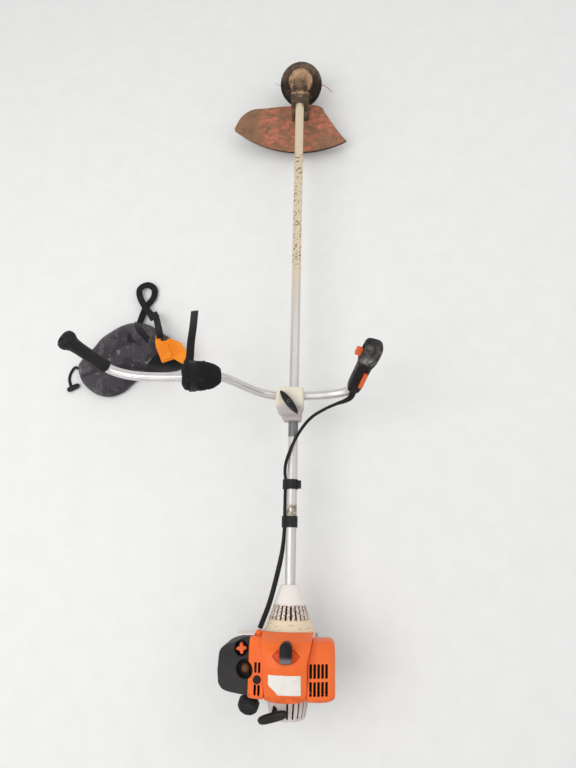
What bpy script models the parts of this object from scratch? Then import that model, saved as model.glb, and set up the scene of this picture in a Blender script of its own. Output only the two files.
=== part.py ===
"""A brush cutter with a wide handlebar, lying on its tank foot and its deflector, its hip pad beside it.

Metres, +Z up. The drive tube runs along +Y towards the cutting head and +X is the operator's right. The
origin is the centre of the fuel tank's foot, on the floor straight under the cylinder.
"""

import math

import bmesh
import bpy
from mathutils import Matrix, Vector

# Driving dimensions.
GAP = 0.0003
SHAFT_HEIGHT = 0.142
TUBE_RADIUS = 0.0127
TUBE_WALL = 0.002
TUBE_START = 0.150
TUBE_END = 1.615
GEAR_CENTRE_Y = 1.678
OUTPUT_TILT = math.radians(30)
BAR_RADIUS = 0.011
CABLE_RADIUS = 0.004
CABLE_SIDE = -0.017
PINION_TEETH = 12
GEAR_TEETH = 17
HEAD_RADIUS = 0.067
DEFLECTOR_SLOPE = math.radians(21)
STARTER_EXIT = Vector((-0.026, -0.082, 0.177))
STARTER_PULL = Vector((-0.12, -0.45, 0.885)).normalized()
CAP_CENTRE = Vector((-0.092, -0.089, 0.122))
CAP_AXIS = Vector((-0.10, -0.55, 0.83)).normalized()
PRIMER_CENTRE = Vector((-0.091, 0.002, 0.196))
CHOKE_CENTRE = Vector((-0.101, 0.043, 0.200))
CLAMP_SCREW = Vector((-0.007, 0.604, 0.168))
HANDLE_START = Vector((0.150, 0.643, 0.220))
HANDLE_DIRECTION = Vector((0.313, 0.501, 0.807)).normalized()
GRIP_START = Vector((-0.424, 0.650, 0.3575))
GRIP_DIRECTION = Vector((-0.56, 0.314, 0.766)).normalized()
BAR_SPACING = 0.03
RING_CENTRE_Y = 0.413
CLIP_CENTRE_Y = 0.322

BAR_ROUTE = [
    (-0.466, 0.6736, 0.4149), (-0.441, 0.6595, 0.3807), (-0.4245, 0.6502, 0.3582), (-0.400, 0.641, 0.349),
    (-0.365, 0.634, 0.345), (-0.320, 0.631, 0.343), (-0.270, 0.631, 0.342), (-0.230, 0.633, 0.339),
    (-0.195, 0.639, 0.330), (-0.162, 0.643, 0.303), (-0.134, 0.642, 0.265), (-0.105, 0.638, 0.226),
    (-0.077, 0.634, 0.200), (-0.046, 0.631, 0.188), (-0.020, 0.631, 0.187), (0.010, 0.631, 0.187),
    (0.036, 0.631, 0.187), (0.069, 0.632, 0.189), (0.106, 0.635, 0.194), (0.134, 0.638, 0.205),
    (0.150, 0.643, 0.220), (0.157, 0.654, 0.238), (0.164, 0.6655, 0.2563),
]
CABLE_ROUTE = [
    (0.1499, 0.6288, 0.2284), (0.1435, 0.6170, 0.2110), (0.131, 0.611, 0.197), (0.110, 0.606, 0.188),
    (0.080, 0.598, 0.180), (0.046, 0.578, 0.170), (0.018, 0.544, 0.1635), (-0.003, 0.503, 0.1605),
    (-0.0160, 0.466, 0.1525), (-0.0185, 0.442, 0.1445), (CABLE_SIDE, 0.427, 0.142),
    (CABLE_SIDE, 0.395, 0.142), (CABLE_SIDE, 0.350, 0.142), (CABLE_SIDE, 0.302, 0.142),
    (-0.0205, 0.255, 0.142), (-0.031, 0.200, 0.144), (-0.047, 0.135, 0.153), (-0.0655, 0.0815, 0.173),
]


# Materials ----------------------------------------------------------------------------------------------


def material(name, colour, roughness, metallic=0.0):
    made = bpy.data.materials.new(name)
    made.use_nodes = True
    shader = made.node_tree.nodes["Principled BSDF"]
    shader.inputs["Base Color"].default_value = (*colour, 1.0)
    shader.inputs["Roughness"].default_value = roughness
    shader.inputs["Metallic"].default_value = metallic
    made.diffuse_color = (*colour, 1.0)
    return made


def make_materials():
    return {
        "tube": material("drawn_aluminium", (0.75, 0.74, 0.72), 0.35, 1.0),
        "casting": material("cast_aluminium", (0.60, 0.60, 0.60), 0.55, 1.0),
        "gearcase": material("dirty_gearcase", (0.33, 0.24, 0.17), 0.85),
        "steel": material("machined_steel", (0.62, 0.62, 0.63), 0.30, 1.0),
        "cream": material("cream_housing", (0.80, 0.76, 0.70), 0.55),
        "orange": material("orange_shroud", (0.85, 0.17, 0.05), 0.42),
        "button": material("orange_button", (0.80, 0.15, 0.04), 0.45),
        "black": material("black_plastic", (0.03, 0.03, 0.03), 0.50),
        "rubber": material("black_rubber", (0.02, 0.02, 0.02), 0.70),
        "tank": material("grey_tank", (0.50, 0.50, 0.48), 0.50),
        "primer": material("primer_rubber", (0.20, 0.10, 0.05), 0.40),
        "guard": material("red_brown_guard", (0.40, 0.17, 0.11), 0.80),
        "head": material("brown_head", (0.12, 0.09, 0.07), 0.75),
        "line": material("trimmer_line", (0.70, 0.20, 0.15), 0.45),
        "porcelain": material("plug_insulator", (0.85, 0.83, 0.78), 0.30),
        "foam": material("black_foam", (0.02, 0.02, 0.02), 0.90),
        "webbing": material("black_webbing", (0.02, 0.02, 0.02), 0.85),
        "cloth": material("grey_cloth", (0.10, 0.09, 0.10), 0.90),
        "bright": material("bright_orange_plastic", (0.95, 0.30, 0.03), 0.40),
    }


# Tools --------------------------------------------------------------------------------------------------


def clear_scene():
    for obj in list(bpy.data.objects):
        bpy.data.objects.remove(obj, do_unlink=True)


def new_collection(name):
    made = bpy.data.collections.new(name)
    bpy.context.scene.collection.children.link(made)
    return made


def placed(name, data, look, matrix=None):
    """An object of the brush cutter, or a cutter or joined shape where look is None."""
    obj = bpy.data.objects.new(name, data)
    if matrix is not None:
        obj.matrix_world = matrix
    if look is None:
        CUTTERS.objects.link(obj)
        obj.hide_render = True
        obj.display_type = "WIRE"
    else:
        PARTS.objects.link(obj)
        data.materials.append(look)
    return obj


def axis_matrix(origin, direction, side=(1.0, 0.0, 0.0)):
    """The matrix whose local Z runs along direction and whose local X is nearest to side."""
    z = Vector(direction).normalized()
    x = Vector(side)
    x = (x - z * x.dot(z)).normalized()
    y = z.cross(x)
    return Matrix.Translation(Vector(origin)) @ Matrix((x, y, z)).transposed().to_4x4()


def mesh_from(bm, name, smooth_angle=40):
    bmesh.ops.recalc_face_normals(bm, faces=bm.faces)
    mesh = bpy.data.meshes.new(name)
    bm.to_mesh(mesh)
    bm.free()
    mesh.shade_smooth()
    mesh.set_sharp_from_angle(angle=math.radians(smooth_angle))
    return mesh


def bevel(obj, width, segments=2):
    rounding = obj.modifiers.new("rounding", "BEVEL")
    rounding.width = width
    rounding.segments = segments
    rounding.limit_method = "ANGLE"
    rounding.angle_limit = math.radians(35)


def solidify(obj, wall, offset=-1.0):
    shell = obj.modifiers.new("wall", "SOLIDIFY")
    shell.thickness = wall
    shell.offset = offset


def boolean(obj, other, operation):
    step = obj.modifiers.new(other.name, "BOOLEAN")
    step.operation = operation
    step.object = other
    return obj


def cut(obj, *cutters):
    for cutter in cutters:
        boolean(obj, cutter, "DIFFERENCE")
    return obj


def join(obj, *others):
    for other in others:
        boolean(obj, other, "UNION")
    return obj


def block(name, low, high, look, rounding=0.0, matrix=None):
    """A box from corner low to corner high, in the frame of matrix."""
    bm = bmesh.new()
    bmesh.ops.create_cube(bm, size=1.0)
    size = Vector(high) - Vector(low)
    centre = (Vector(high) + Vector(low)) / 2
    for vertex in bm.verts:
        vertex.co = Vector(a * b for a, b in zip(vertex.co, size)) + centre
    obj = placed(name, mesh_from(bm, name), look, matrix)
    if rounding:
        bevel(obj, rounding)
    return obj


def turned(name, profile, look, matrix, steps=24):
    """A turned solid from a profile of (radius, height) points: a ring if the profile stays off the axis."""
    pairs = list(zip(profile, profile[1:] + profile[:1]))
    if sum(a[0] * b[1] - b[0] * a[1] for a, b in pairs) > 0:
        profile = profile[::-1]
    solid = profile[0][0] == 0.0 and profile[-1][0] == 0.0
    bm = bmesh.new()
    verts = [bm.verts.new((radius, 0.0, height)) for radius, height in profile]
    for first, second in zip(verts, verts[1:]):
        bm.edges.new((first, second))
    if not solid:
        bm.edges.new((verts[-1], verts[0]))
    mesh = bpy.data.meshes.new(name)
    bm.to_mesh(mesh)
    bm.free()
    obj = placed(name, mesh, look, matrix)
    screw = obj.modifiers.new("turning", "SCREW")
    screw.axis = "Z"
    screw.steps = steps
    screw.render_steps = steps
    screw.use_merge_vertices = True
    screw.merge_threshold = 0.00001
    return obj


def rod(name, start, end, radius, look, steps=12):
    """A plain round rod between two points."""
    start = Vector(start)
    length = (Vector(end) - start).length
    profile = [(0.0, length), (radius, length), (radius, 0.0), (0.0, 0.0)]
    direction = Vector(end) - start
    side = (0.0, 1.0, 0.0) if abs(direction.normalized().x) > 0.9 else (1.0, 0.0, 0.0)
    return turned(name, profile, look, axis_matrix(start, direction, side), steps)


def stack(name, sections, look, open_faces=(), matrix=None):
    """A loft of rectangles (x0, x1, z0, z1) at each y, in the frame of matrix, without the named faces."""
    bm = bmesh.new()
    rings = []
    for y, x0, x1, z0, z1 in sections:
        corners = [(x0, y, z0), (x1, y, z0), (x1, y, z1), (x0, y, z1)]
        rings.append([bm.verts.new(corner) for corner in corners])
    sides = ("bottom", "right", "top", "left")
    for first, second in zip(rings, rings[1:]):
        for i, side in enumerate(sides):
            if side not in open_faces:
                j = (i + 1) % 4
                bm.faces.new((first[i], first[j], second[j], second[i]))
    if "start" not in open_faces:
        bm.faces.new(rings[0])
    if "end" not in open_faces:
        bm.faces.new(rings[-1][::-1])
    bmesh.ops.recalc_face_normals(bm, faces=bm.faces)
    return placed(name, mesh_from(bm, name), look, matrix)


def shell(name, sections, look, wall, rounding, open_faces):
    """An open casing: the loft, its edges rounded, given its wall inwards."""
    obj = stack(name, sections, look, open_faces)
    bevel(obj, rounding, 3)
    solidify(obj, wall)
    return obj


def smooth_route(points, spacing):
    """Points of an even Catmull-Rom curve through the given points."""
    knots = [Vector(p) for p in points]
    knots = [knots[0] * 2 - knots[1], *knots, knots[-1] * 2 - knots[-2]]
    route = []
    for a, b, c, d in zip(knots, knots[1:], knots[2:], knots[3:]):
        steps = max(1, round((c - b).length / spacing))
        for i in range(steps):
            t = i / steps
            route.append(
                0.5 * (2 * b + (c - a) * t + (2 * a - 5 * b + 4 * c - d) * t**2
                       + (3 * b - a - 3 * c + d) * t**3)
            )
    return [*route, knots[-2]]


def pipe(name, points, radius, look, resolution=2, caps=True, cyclic=False):
    """A round wire or tube along a polyline."""
    data = bpy.data.curves.new(name, "CURVE")
    data.dimensions = "3D"
    data.bevel_depth = radius
    data.bevel_resolution = resolution
    data.use_fill_caps = caps
    spline = data.splines.new("POLY")
    spline.points.add(len(points) - 1)
    for point, place in zip(spline.points, points):
        point.co = (*place, 1.0)
    spline.use_cyclic_u = cyclic
    return placed(name, data, look)


def as_mesh(obj, look):
    """The same shape as a mesh object with its caps welded, so that it can be cut or given a wall."""
    bpy.context.view_layer.update()
    name = obj.name
    mesh = bpy.data.meshes.new_from_object(obj.evaluated_get(bpy.context.evaluated_depsgraph_get()))
    bm = bmesh.new()
    bm.from_mesh(mesh)
    bmesh.ops.remove_doubles(bm, verts=bm.verts, dist=0.00001)
    bpy.data.meshes.remove(mesh)
    matrix = obj.matrix_world.copy()
    bpy.data.objects.remove(obj, do_unlink=True)
    return placed(name, mesh_from(bm, name), look, matrix)


def ribbon(name, points, width, thickness, look):
    """A flat strap along a polyline, its width level and square to the way it runs."""
    bm = bmesh.new()
    rows = []
    for i, point in enumerate(points):
        along = points[min(i + 1, len(points) - 1)] - points[max(i - 1, 0)]
        half = along.cross(Vector((0.0, 0.0, 1.0))).normalized() * width / 2
        rows.append((bm.verts.new(point - half), bm.verts.new(point + half)))
    for (a, b), (c, d) in zip(rows, rows[1:]):
        bm.faces.new((a, b, d, c))
    obj = placed(name, mesh_from(bm, name), look)
    solidify(obj, thickness, 0.0)
    return obj


def grid_shell(name, rows, wall, look, offset, matrix=None):
    """A curved sheet through rows of points, given a wall on one side."""
    bm = bmesh.new()
    made = [[bm.verts.new(point) for point in row] for row in rows]
    for upper, lower in zip(made, made[1:]):
        for i in range(len(upper) - 1):
            bm.faces.new((upper[i], upper[i + 1], lower[i + 1], lower[i]))
    obj = placed(name, mesh_from(bm, name), look, matrix)
    solidify(obj, wall, offset)
    return obj


def mound(name, outline, layers, look):
    """A closed soft form: the outline drawn in towards its middle at each height."""
    bm = bmesh.new()
    middle = sum((Vector(p) for p in outline), Vector((0.0, 0.0))) / len(outline)
    rings = []
    for scale, height in layers:
        ring = [middle + (Vector(p) - middle) * scale for p in outline]
        rings.append([bm.verts.new((p.x, p.y, height)) for p in ring])
    for lower, upper in zip(rings, rings[1:]):
        for i in range(len(outline)):
            j = (i + 1) % len(outline)
            bm.faces.new((lower[i], lower[j], upper[j], upper[i]))
    bm.faces.new(rings[0])
    bm.faces.new(rings[-1])
    return placed(name, mesh_from(bm, name, 80), look)


def toothed(name, teeth, big, small, length, depth, bore, look, matrix):
    """A bevel gear: a frustum whose rim goes in and out once a tooth, with a bore along it."""
    bm = bmesh.new()
    rims = []
    for radius, height in ((big, 0.0), (small, length)):
        ring = []
        for i in range(teeth * 4):
            angle = math.tau * i / (teeth * 4)
            reach = radius - (depth if i % 4 > 1 else 0.0)
            ring.append(bm.verts.new((reach * math.cos(angle), reach * math.sin(angle), height)))
        rims.append(ring)
    for i in range(teeth * 4):
        j = (i + 1) % (teeth * 4)
        bm.faces.new((rims[0][i], rims[0][j], rims[1][j], rims[1][i]))
    bm.faces.new(rims[0][::-1])
    bm.faces.new(rims[1])
    obj = placed(name, mesh_from(bm, name), look, matrix)
    ends = [(0.0, length + 0.01), (bore, length + 0.01), (bore, -0.03), (0.0, -0.03)]
    return cut(obj, turned(name + "_bore", ends, None, matrix, 16))


ALONG_SHAFT = axis_matrix((0.0, 0.0, SHAFT_HEIGHT), (0.0, 1.0, 0.0))
OUTPUT = axis_matrix(
    (0.0, GEAR_CENTRE_Y, SHAFT_HEIGHT), (0.0, math.sin(OUTPUT_TILT), -math.cos(OUTPUT_TILT))
)
UPRIGHT = Matrix.Identity(4)


# Drive line ---------------------------------------------------------------------------------------------


def make_drive_tube():
    inner = TUBE_RADIUS - TUBE_WALL
    ring = [(TUBE_RADIUS, TUBE_END), (TUBE_RADIUS, TUBE_START), (inner, TUBE_START), (inner, TUBE_END)]
    turned("drive_tube", ring, LOOKS["tube"], ALONG_SHAFT, 24)


def make_drive_line():
    shaft_radius = 0.004
    shaft = [(0.0, 1.6675), (shaft_radius, 1.6675), (shaft_radius, 0.100), (0.0, 0.100)]
    turned("drive_shaft", shaft, LOOKS["steel"], ALONG_SHAFT, 12)
    bore = shaft_radius + GAP
    drum = [
        (bore, 0.125), (0.008, 0.125), (0.008, 0.114), (0.028, 0.112), (0.028, 0.080),
        (0.0255, 0.080), (0.0255, 0.1085), (0.008, 0.1085), (0.008, 0.104), (bore, 0.104),
    ]
    turned("clutch_drum", drum, LOOKS["steel"], ALONG_SHAFT, 16)
    apex = axis_matrix((0.0, GEAR_CENTRE_Y - 0.0112, SHAFT_HEIGHT), (0.0, 1.0, 0.0))
    toothed("drive_pinion", PINION_TEETH, 0.0098, 0.0056, 0.0046, 0.0012, bore, LOOKS["steel"], apex)


def slot_cutter(name, count, spread, first, inner, outer, low, high, width):
    """Radial boxes around the drive line, from radius inner to outer and from y low to high."""
    bm = bmesh.new()
    size = (outer - inner, width, high - low)
    for i in range(count):
        made = bmesh.ops.create_cube(bm, size=1.0)["verts"]
        turn = Matrix.Rotation(first + spread * i, 4, "Z")
        shift = Matrix.Translation(((inner + outer) / 2, 0.0, (low + high) / 2))
        bmesh.ops.transform(bm, matrix=turn @ shift @ Matrix.Diagonal((*size, 1.0)), verts=made)
    return placed(name, mesh_from(bm, name), None, ALONG_SHAFT)


def make_clutch_housing():
    bore = TUBE_RADIUS + GAP
    cone = [
        (bore, 0.176), (0.0225, 0.176), (0.0555, 0.0785), (0.0600, 0.0785), (0.0600, 0.0723),
        (0.0545, 0.0723), (0.0225, 0.160), (bore, 0.163),
    ]
    housing = turned("clutch_housing", cone, LOOKS["cream"], ALONG_SHAFT, 28)
    slots = 18
    cut(housing, slot_cutter("cooling_slots", slots, math.tau / slots, math.radians(5), 0.030, 0.075,
                             0.096, 0.131, 0.0052))


# Engine -------------------------------------------------------------------------------------------------


def make_fan_housing():
    ring = [(0.0600, 0.0720), (0.0600, 0.0375), (0.0570, 0.0375), (0.0570, 0.0720)]
    housing = turned("fan_housing", ring, LOOKS["cream"], ALONG_SHAFT, 32)
    wing = block("fan_housing_wing", (-0.115, 0.0690, 0.128), (-0.0585, 0.0718, 0.200), None)
    join(housing, cut(wing, block("cable_notch", (-0.0745, 0.060, 0.1615), (-0.050, 0.080, 0.210), None)))


def make_crank_group():
    shaft = rod("crankshaft", (0, -0.076, SHAFT_HEIGHT), (0, -0.0035, SHAFT_HEIGHT), 0.005, LOOKS["steel"])
    throw = SHAFT_HEIGHT + 0.015
    join(
        shaft,
        rod("rear_web", (0, -0.011, SHAFT_HEIGHT), (0, -0.004, SHAFT_HEIGHT), 0.024, None, 16),
        rod("crank_pin", (0, -0.008, throw), (0, 0.008, throw), 0.005, None),
        rod("front_web", (0, 0.004, SHAFT_HEIGHT), (0, 0.011, SHAFT_HEIGHT), 0.024, None, 16),
        rod("front_journal", (0, 0.0035, SHAFT_HEIGHT), (0, 0.098, SHAFT_HEIGHT), 0.005, None),
    )
    wheel = [(0.0053, 0.066), (0.016, 0.066), (0.016, 0.056), (0.050, 0.056), (0.050, 0.044), (0.0053, 0.044)]
    flywheel = turned("flywheel", wheel, LOOKS["casting"], ALONG_SHAFT, 20)
    blades = 8
    fan = slot_cutter("fan_blades", blades, math.tau / blades, 0.1, 0.022, 0.048, 0.052, 0.067, 0.004)
    join(flywheel, fan)
    shoes = [(0.0053, 0.097), (0.012, 0.097), (0.0245, 0.096), (0.0245, 0.082), (0.0053, 0.081)]
    turned("clutch_shoes", shoes, LOOKS["steel"], ALONG_SHAFT, 16)


def make_crankcase_and_cylinder():
    case = block("crankcase", (-0.040, -0.0560, 0.0943), (0.040, 0.0330, 0.1840), LOOKS["casting"])
    centre = SHAFT_HEIGHT
    cut(
        case,
        rod("crank_chamber", (0, -0.0137, centre), (0, 0.0139, centre), 0.0281, None, 26),
        rod("crank_bore", (0, -0.07, centre), (0, 0.07, centre), 0.0054, None),
        rod("cylinder_spigot", (0, 0, centre + 0.005), (0, 0, 0.20), 0.0175, None, 24),
    )
    fins, pitch, base = 4, 0.015, 0.1843
    profile = [(0.0, 0.252), (0.022, 0.252)]
    for i in range(fins):
        top = 0.247 - pitch * i
        profile += [(0.022, top), (0.037, top), (0.037, top - 0.003), (0.022, top - 0.003)]
    profile += [(0.022, base), (0.0175, base), (0.0175, 0.236), (0.0, 0.236)]
    cylinder = turned("cylinder", profile, LOOKS["casting"], UPRIGHT, 16)
    cut(cylinder, rod("plug_thread_hole", PLUG @ Vector((0, 0, -0.02)), PLUG @ Vector((0, 0, 0.03)),
                      0.0053, None))
    piston = [
        (0.0, 0.232), (0.0168, 0.232), (0.0168, 0.206), (0.0140, 0.206), (0.0140, 0.2285), (0.0, 0.2285),
    ]
    turned("piston", piston, LOOKS["casting"], UPRIGHT, 16)


PLUG = axis_matrix((0.0, 0.006, 0.2455), (0.04, 0.75, 0.66))


def make_spark_plug():
    plug = [
        (0.0, 0.055), (0.003, 0.055), (0.003, 0.047), (0.005, 0.046), (0.005, 0.032), (0.009, 0.031),
        (0.009, 0.022), (0.005, 0.022), (0.005, -0.004), (0.0, -0.004),
    ]
    turned("spark_plug", plug, LOOKS["porcelain"], PLUG, 12)
    boot = block("spark_plug_boot", (-0.015, 0.028, 0.258), (0.017, 0.068, 0.293), LOOKS["rubber"], 0.010)
    cut(boot, rod("boot_socket", PLUG @ Vector((0, 0, 0.004)), PLUG @ Vector((0, 0, 0.057)), 0.0095, None))


def grille(name, columns, rows, x, width, look_z):
    """Boxes that cut vertical slots through a cover: columns at pitch x, rows as (low, high) in y."""
    bm = bmesh.new()
    for column in range(columns):
        for low, high in rows:
            made = bmesh.ops.create_cube(bm, size=1.0)["verts"]
            centre = (x[0] + x[1] * column, (low + high) / 2, sum(look_z) / 2)
            size = (width, high - low, look_z[1] - look_z[0])
            matrix = Matrix.Translation(centre) @ Matrix.Diagonal((*size, 1.0))
            bmesh.ops.transform(bm, matrix=matrix, verts=made)
    return placed(name, mesh_from(bm, name), None)


def make_shrouds():
    shroud = shell(
        "engine_shroud",
        [
            (0.0790, -0.0580, 0.0580, 0.1860, 0.2065), (0.0640, -0.0560, 0.0550, 0.1900, 0.2620),
            (0.0460, -0.0540, 0.0530, 0.2095, 0.2720), (0.0100, -0.0490, 0.0485, 0.2095, 0.2780),
            (-0.0560, -0.0455, 0.0450, 0.2095, 0.2430),
        ],
        LOOKS["orange"], 0.0025, 0.006, ("bottom", "start"),
    )
    cut(shroud, block("boot_opening", (-0.0165, 0.0265, 0.24), (0.0185, 0.0695, 0.31), None, 0.008))
    cover = shell(
        "muffler_cover",
        [
            (0.0600, 0.0600, 0.1020, 0.1500, 0.2120), (0.0450, 0.0565, 0.1060, 0.1500, 0.2200),
            (-0.0560, 0.0500, 0.1060, 0.1500, 0.2300),
        ],
        LOOKS["orange"], 0.0025, 0.010, ("bottom", "left"),
    )
    slots = ((-0.0125, 0.0150), (-0.0480, -0.0185))
    cut(cover, grille("muffler_slots", 5, slots, (0.0590, 0.0082), 0.0045, (0.206, 0.26)))
    panel = shell(
        "intake_panel",
        [
            (0.0680, -0.0830, -0.0585, 0.1650, 0.2180), (0.0450, -0.0830, -0.0560, 0.1650, 0.2300),
            (-0.0560, -0.0830, -0.0490, 0.1650, 0.2320),
        ],
        LOOKS["orange"], 0.0025, 0.005, ("bottom", "right"),
    )
    boss = block("cable_boss", (-0.0740, 0.0600, 0.1620), (-0.0592, 0.0782, 0.1840), None, 0.003)
    join(panel, boss)
    slots = ((0.0050, 0.0300), (-0.0490, -0.0300))
    cut(
        panel,
        grille("intake_slots", 2, slots, (-0.0685, 0.0105), 0.0050, (0.215, 0.25)),
        rod("primer_notch", PRIMER_CENTRE - Vector((0, 0, 0.04)), PRIMER_CENTRE + Vector((0, 0, 0.06)),
            0.0190, None, 24),
    )
    screw = [(0.0, 0.2385), (0.0075, 0.2385), (0.0085, 0.2370), (0.0085, 0.2325), (0.0, 0.2325)]
    turned("panel_screw", screw, LOOKS["black"], axis_matrix((-0.0615, -0.0140, 0.0), (0, 0, 1)), 16)


def make_muffler_and_intake():
    block("muffler", (0.0405, -0.0420, 0.1600), (0.0940, 0.0360, 0.2050), LOOKS["steel"], 0.006)
    body = block("carburettor", (-0.0800, -0.0180, 0.1700), (-0.0405, 0.0200, 0.2060), LOOKS["casting"],
                 0.003)
    cut(body, rod("carburettor_throat", (-0.09, 0.001, 0.188), (-0.03, 0.001, 0.188), 0.008, None, 12))
    block("air_filter", (-0.1480, -0.0380, 0.1180), (-0.0880, 0.0550, 0.1880), LOOKS["foam"], 0.006)
    cover = shell(
        "filter_cover",
        [
            (0.0640, -0.1460, -0.0835, 0.0970, 0.2040), (0.0450, -0.1570, -0.0835, 0.0950, 0.2110),
            (-0.0300, -0.1570, -0.0835, 0.0950, 0.2130), (-0.0480, -0.1480, -0.0835, 0.0970, 0.2070),
        ],
        LOOKS["black"], 0.0025, 0.012, ("right",),
    )
    up = Vector((0, 0, 0.05))
    cut(
        cover,
        rod("primer_well", PRIMER_CENTRE - Vector((0, 0, 0.004)), PRIMER_CENTRE + up, 0.0190, None, 24),
        rod("choke_well", CHOKE_CENTRE - Vector((0, 0, 0.004)), CHOKE_CENTRE + up, 0.0145, None, 24),
    )
    bulb = [(0.0, 0.013), (0.005, 0.0125), (0.009, 0.009), (0.0105, 0.003), (0.0105, -0.002), (0.0, -0.002)]
    turned("primer_bulb", bulb, LOOKS["primer"], axis_matrix(PRIMER_CENTRE, (0, 0, 1)), 16)
    knob = turned(
        "choke_knob", [(0.0, 0.013), (0.0045, 0.013), (0.006, 0.010), (0.006, -0.008), (0.0, -0.008)],
        LOOKS["button"], axis_matrix(CHOKE_CENTRE, (0, 0, 1)), 12,
    )
    reach, half = 0.0118, 0.0032
    for name, angle in (("knob_wing_a", 45), ("knob_wing_b", 135)):
        turn = axis_matrix(CHOKE_CENTRE, (0, 0, 1)) @ Matrix.Rotation(math.radians(angle), 4, "Z")
        join(knob, block(name, (-reach, -half, 0.001), (reach, half, 0.0115), None, 0.0015, turn))


def make_tank():
    tank = block("fuel_tank", (-0.105, -0.072, 0.010), (0.065, 0.036, 0.0940), LOOKS["tank"], 0.012)
    foot = block("tank_foot", (-0.065, -0.055, 0.0), (0.065, 0.055, 0.024), None)
    neck = rod("tank_neck", CAP_CENTRE - CAP_AXIS * 0.055, CAP_CENTRE - CAP_AXIS * 0.0035, 0.0170, None, 20)
    join(tank, foot, neck)
    cap = [
        (0.0, 0.010), (0.017, 0.010), (0.0235, 0.006), (0.0250, -0.009), (0.0180, -0.009),
        (0.0180, -0.0015), (0.0, -0.0015),
    ]
    turned("fuel_cap", cap, LOOKS["black"], axis_matrix(CAP_CENTRE, CAP_AXIS), 24)


def make_starter():
    cup = [
        (0.0, -0.108), (0.034, -0.108), (0.040, -0.104), (0.045, -0.080), (0.047, -0.0585),
        (0.0445, -0.0585), (0.0425, -0.080), (0.0375, -0.102), (0.033, -0.105), (0.005, -0.105),
        (0.005, -0.0785), (0.0, -0.0785),
    ]
    housing = turned("starter_housing", cup, LOOKS["cream"], ALONG_SHAFT, 24)
    exit_hole = rod("rope_exit", STARTER_EXIT - STARTER_PULL * 0.010, STARTER_EXIT + STARTER_PULL * 0.012,
                    0.0062, None)
    spread, first = math.radians(17), math.radians(-88)
    slots = slot_cutter("starter_slots", 6, spread, first, 0.030, 0.060, -0.101, -0.068, 0.0042)
    cut(housing, slots, exit_hole)
    reel = [
        (0.0054, -0.096), (0.030, -0.096), (0.030, -0.0945), (0.021, -0.0945), (0.021, -0.0815),
        (0.030, -0.0815), (0.030, -0.080), (0.0054, -0.080),
    ]
    turned("starter_reel", reel, LOOKS["black"], ALONG_SHAFT, 24)
    centre = STARTER_EXIT + STARTER_PULL * 0.026
    frame = axis_matrix(centre, STARTER_PULL, (0.966, 0.259, 0.0))
    grip = block("starter_grip", (-0.035, -0.010, -0.007), (0.035, 0.010, 0.007), LOOKS["black"], 0.0055,
                 frame)
    join(grip, rod("grip_neck", STARTER_EXIT - STARTER_PULL * 0.004, centre, 0.0052, None))
    rope = [STARTER_EXIT - STARTER_PULL * 0.0070, (-0.0247, -0.0868, 0.158), (-0.0237, -0.088, 0.1425)]
    pipe("starter_rope", rope, 0.0017, LOOKS["webbing"])


# Handlebar and controls ---------------------------------------------------------------------------------


def make_handle_support():
    support = stack(
        "handle_support",
        [
            (0.574, -0.024, 0.018, 0.128, 0.160), (0.584, -0.030, 0.022, 0.122, 0.1680),
            (0.640, -0.030, 0.022, 0.122, 0.1680), (0.646, -0.028, 0.020, 0.126, 0.1650),
        ],
        LOOKS["cream"],
    )
    bevel(support, 0.003)
    tube_hole = rod("support_bore", (0, 0.55, SHAFT_HEIGHT), (0, 0.67, SHAFT_HEIGHT), TUBE_RADIUS + GAP,
                    None, 28)
    screw_hole = rod("support_thread", CLAMP_SCREW - Vector((0, 0, 0.010)),
                     CLAMP_SCREW + Vector((0, 0, 0.02)), 0.0054, None)
    cut(support, tube_hole, screw_hole)


def make_bar_clamp():
    low, high = CLAMP_SCREW.z + GAP, 0.2150
    clamp = stack(
        "bar_clamp",
        [
            (0.582, -0.034, 0.022, low, 0.2000), (0.594, -0.041, 0.028, low, 0.2120),
            (0.640, -0.042, 0.029, low, high), (0.650, -0.039, 0.026, low, 0.2080),
        ],
        LOOKS["cream"],
    )
    bevel(clamp, 0.004)
    cut(
        clamp,
        rod("bar_bore", (-0.06, 0.631, 0.187), (0.06, 0.631, 0.187), BAR_RADIUS + 0.0012, None, 20),
        rod("screw_bore", CLAMP_SCREW - Vector((0, 0, 0.01)), CLAMP_SCREW + Vector((0, 0, 0.08)), 0.0056,
            None),
    )
    top = CLAMP_SCREW.z + 0.0505
    frame = axis_matrix((CLAMP_SCREW.x, CLAMP_SCREW.y, top), (0, 0, 1), (-0.62, 0.785, 0.0))
    half = 0.036
    arc = [(half * math.cos(a), 0.0115 * math.sin(a)) for a in (math.tau * i / 20 for i in range(20))]
    bm = bmesh.new()
    layers = []
    for scale, height in ((0.96, 0.0), (1.0, 0.009), (0.88, 0.022)):
        layers.append([bm.verts.new((x * scale, y * scale, height)) for x, y in arc])
    for lower, upper in zip(layers, layers[1:]):
        for i in range(len(arc)):
            j = (i + 1) % len(arc)
            bm.faces.new((lower[i], lower[j], upper[j], upper[i]))
    bm.faces.new(layers[0])
    bm.faces.new(layers[-1])
    knob = placed("clamp_knob", mesh_from(bm, "clamp_knob"), LOOKS["black"], frame)
    join(knob, rod("knob_screw", CLAMP_SCREW - Vector((0, 0, 0.008)), CLAMP_SCREW + Vector((0, 0, 0.055)),
                   0.005, None))


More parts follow.
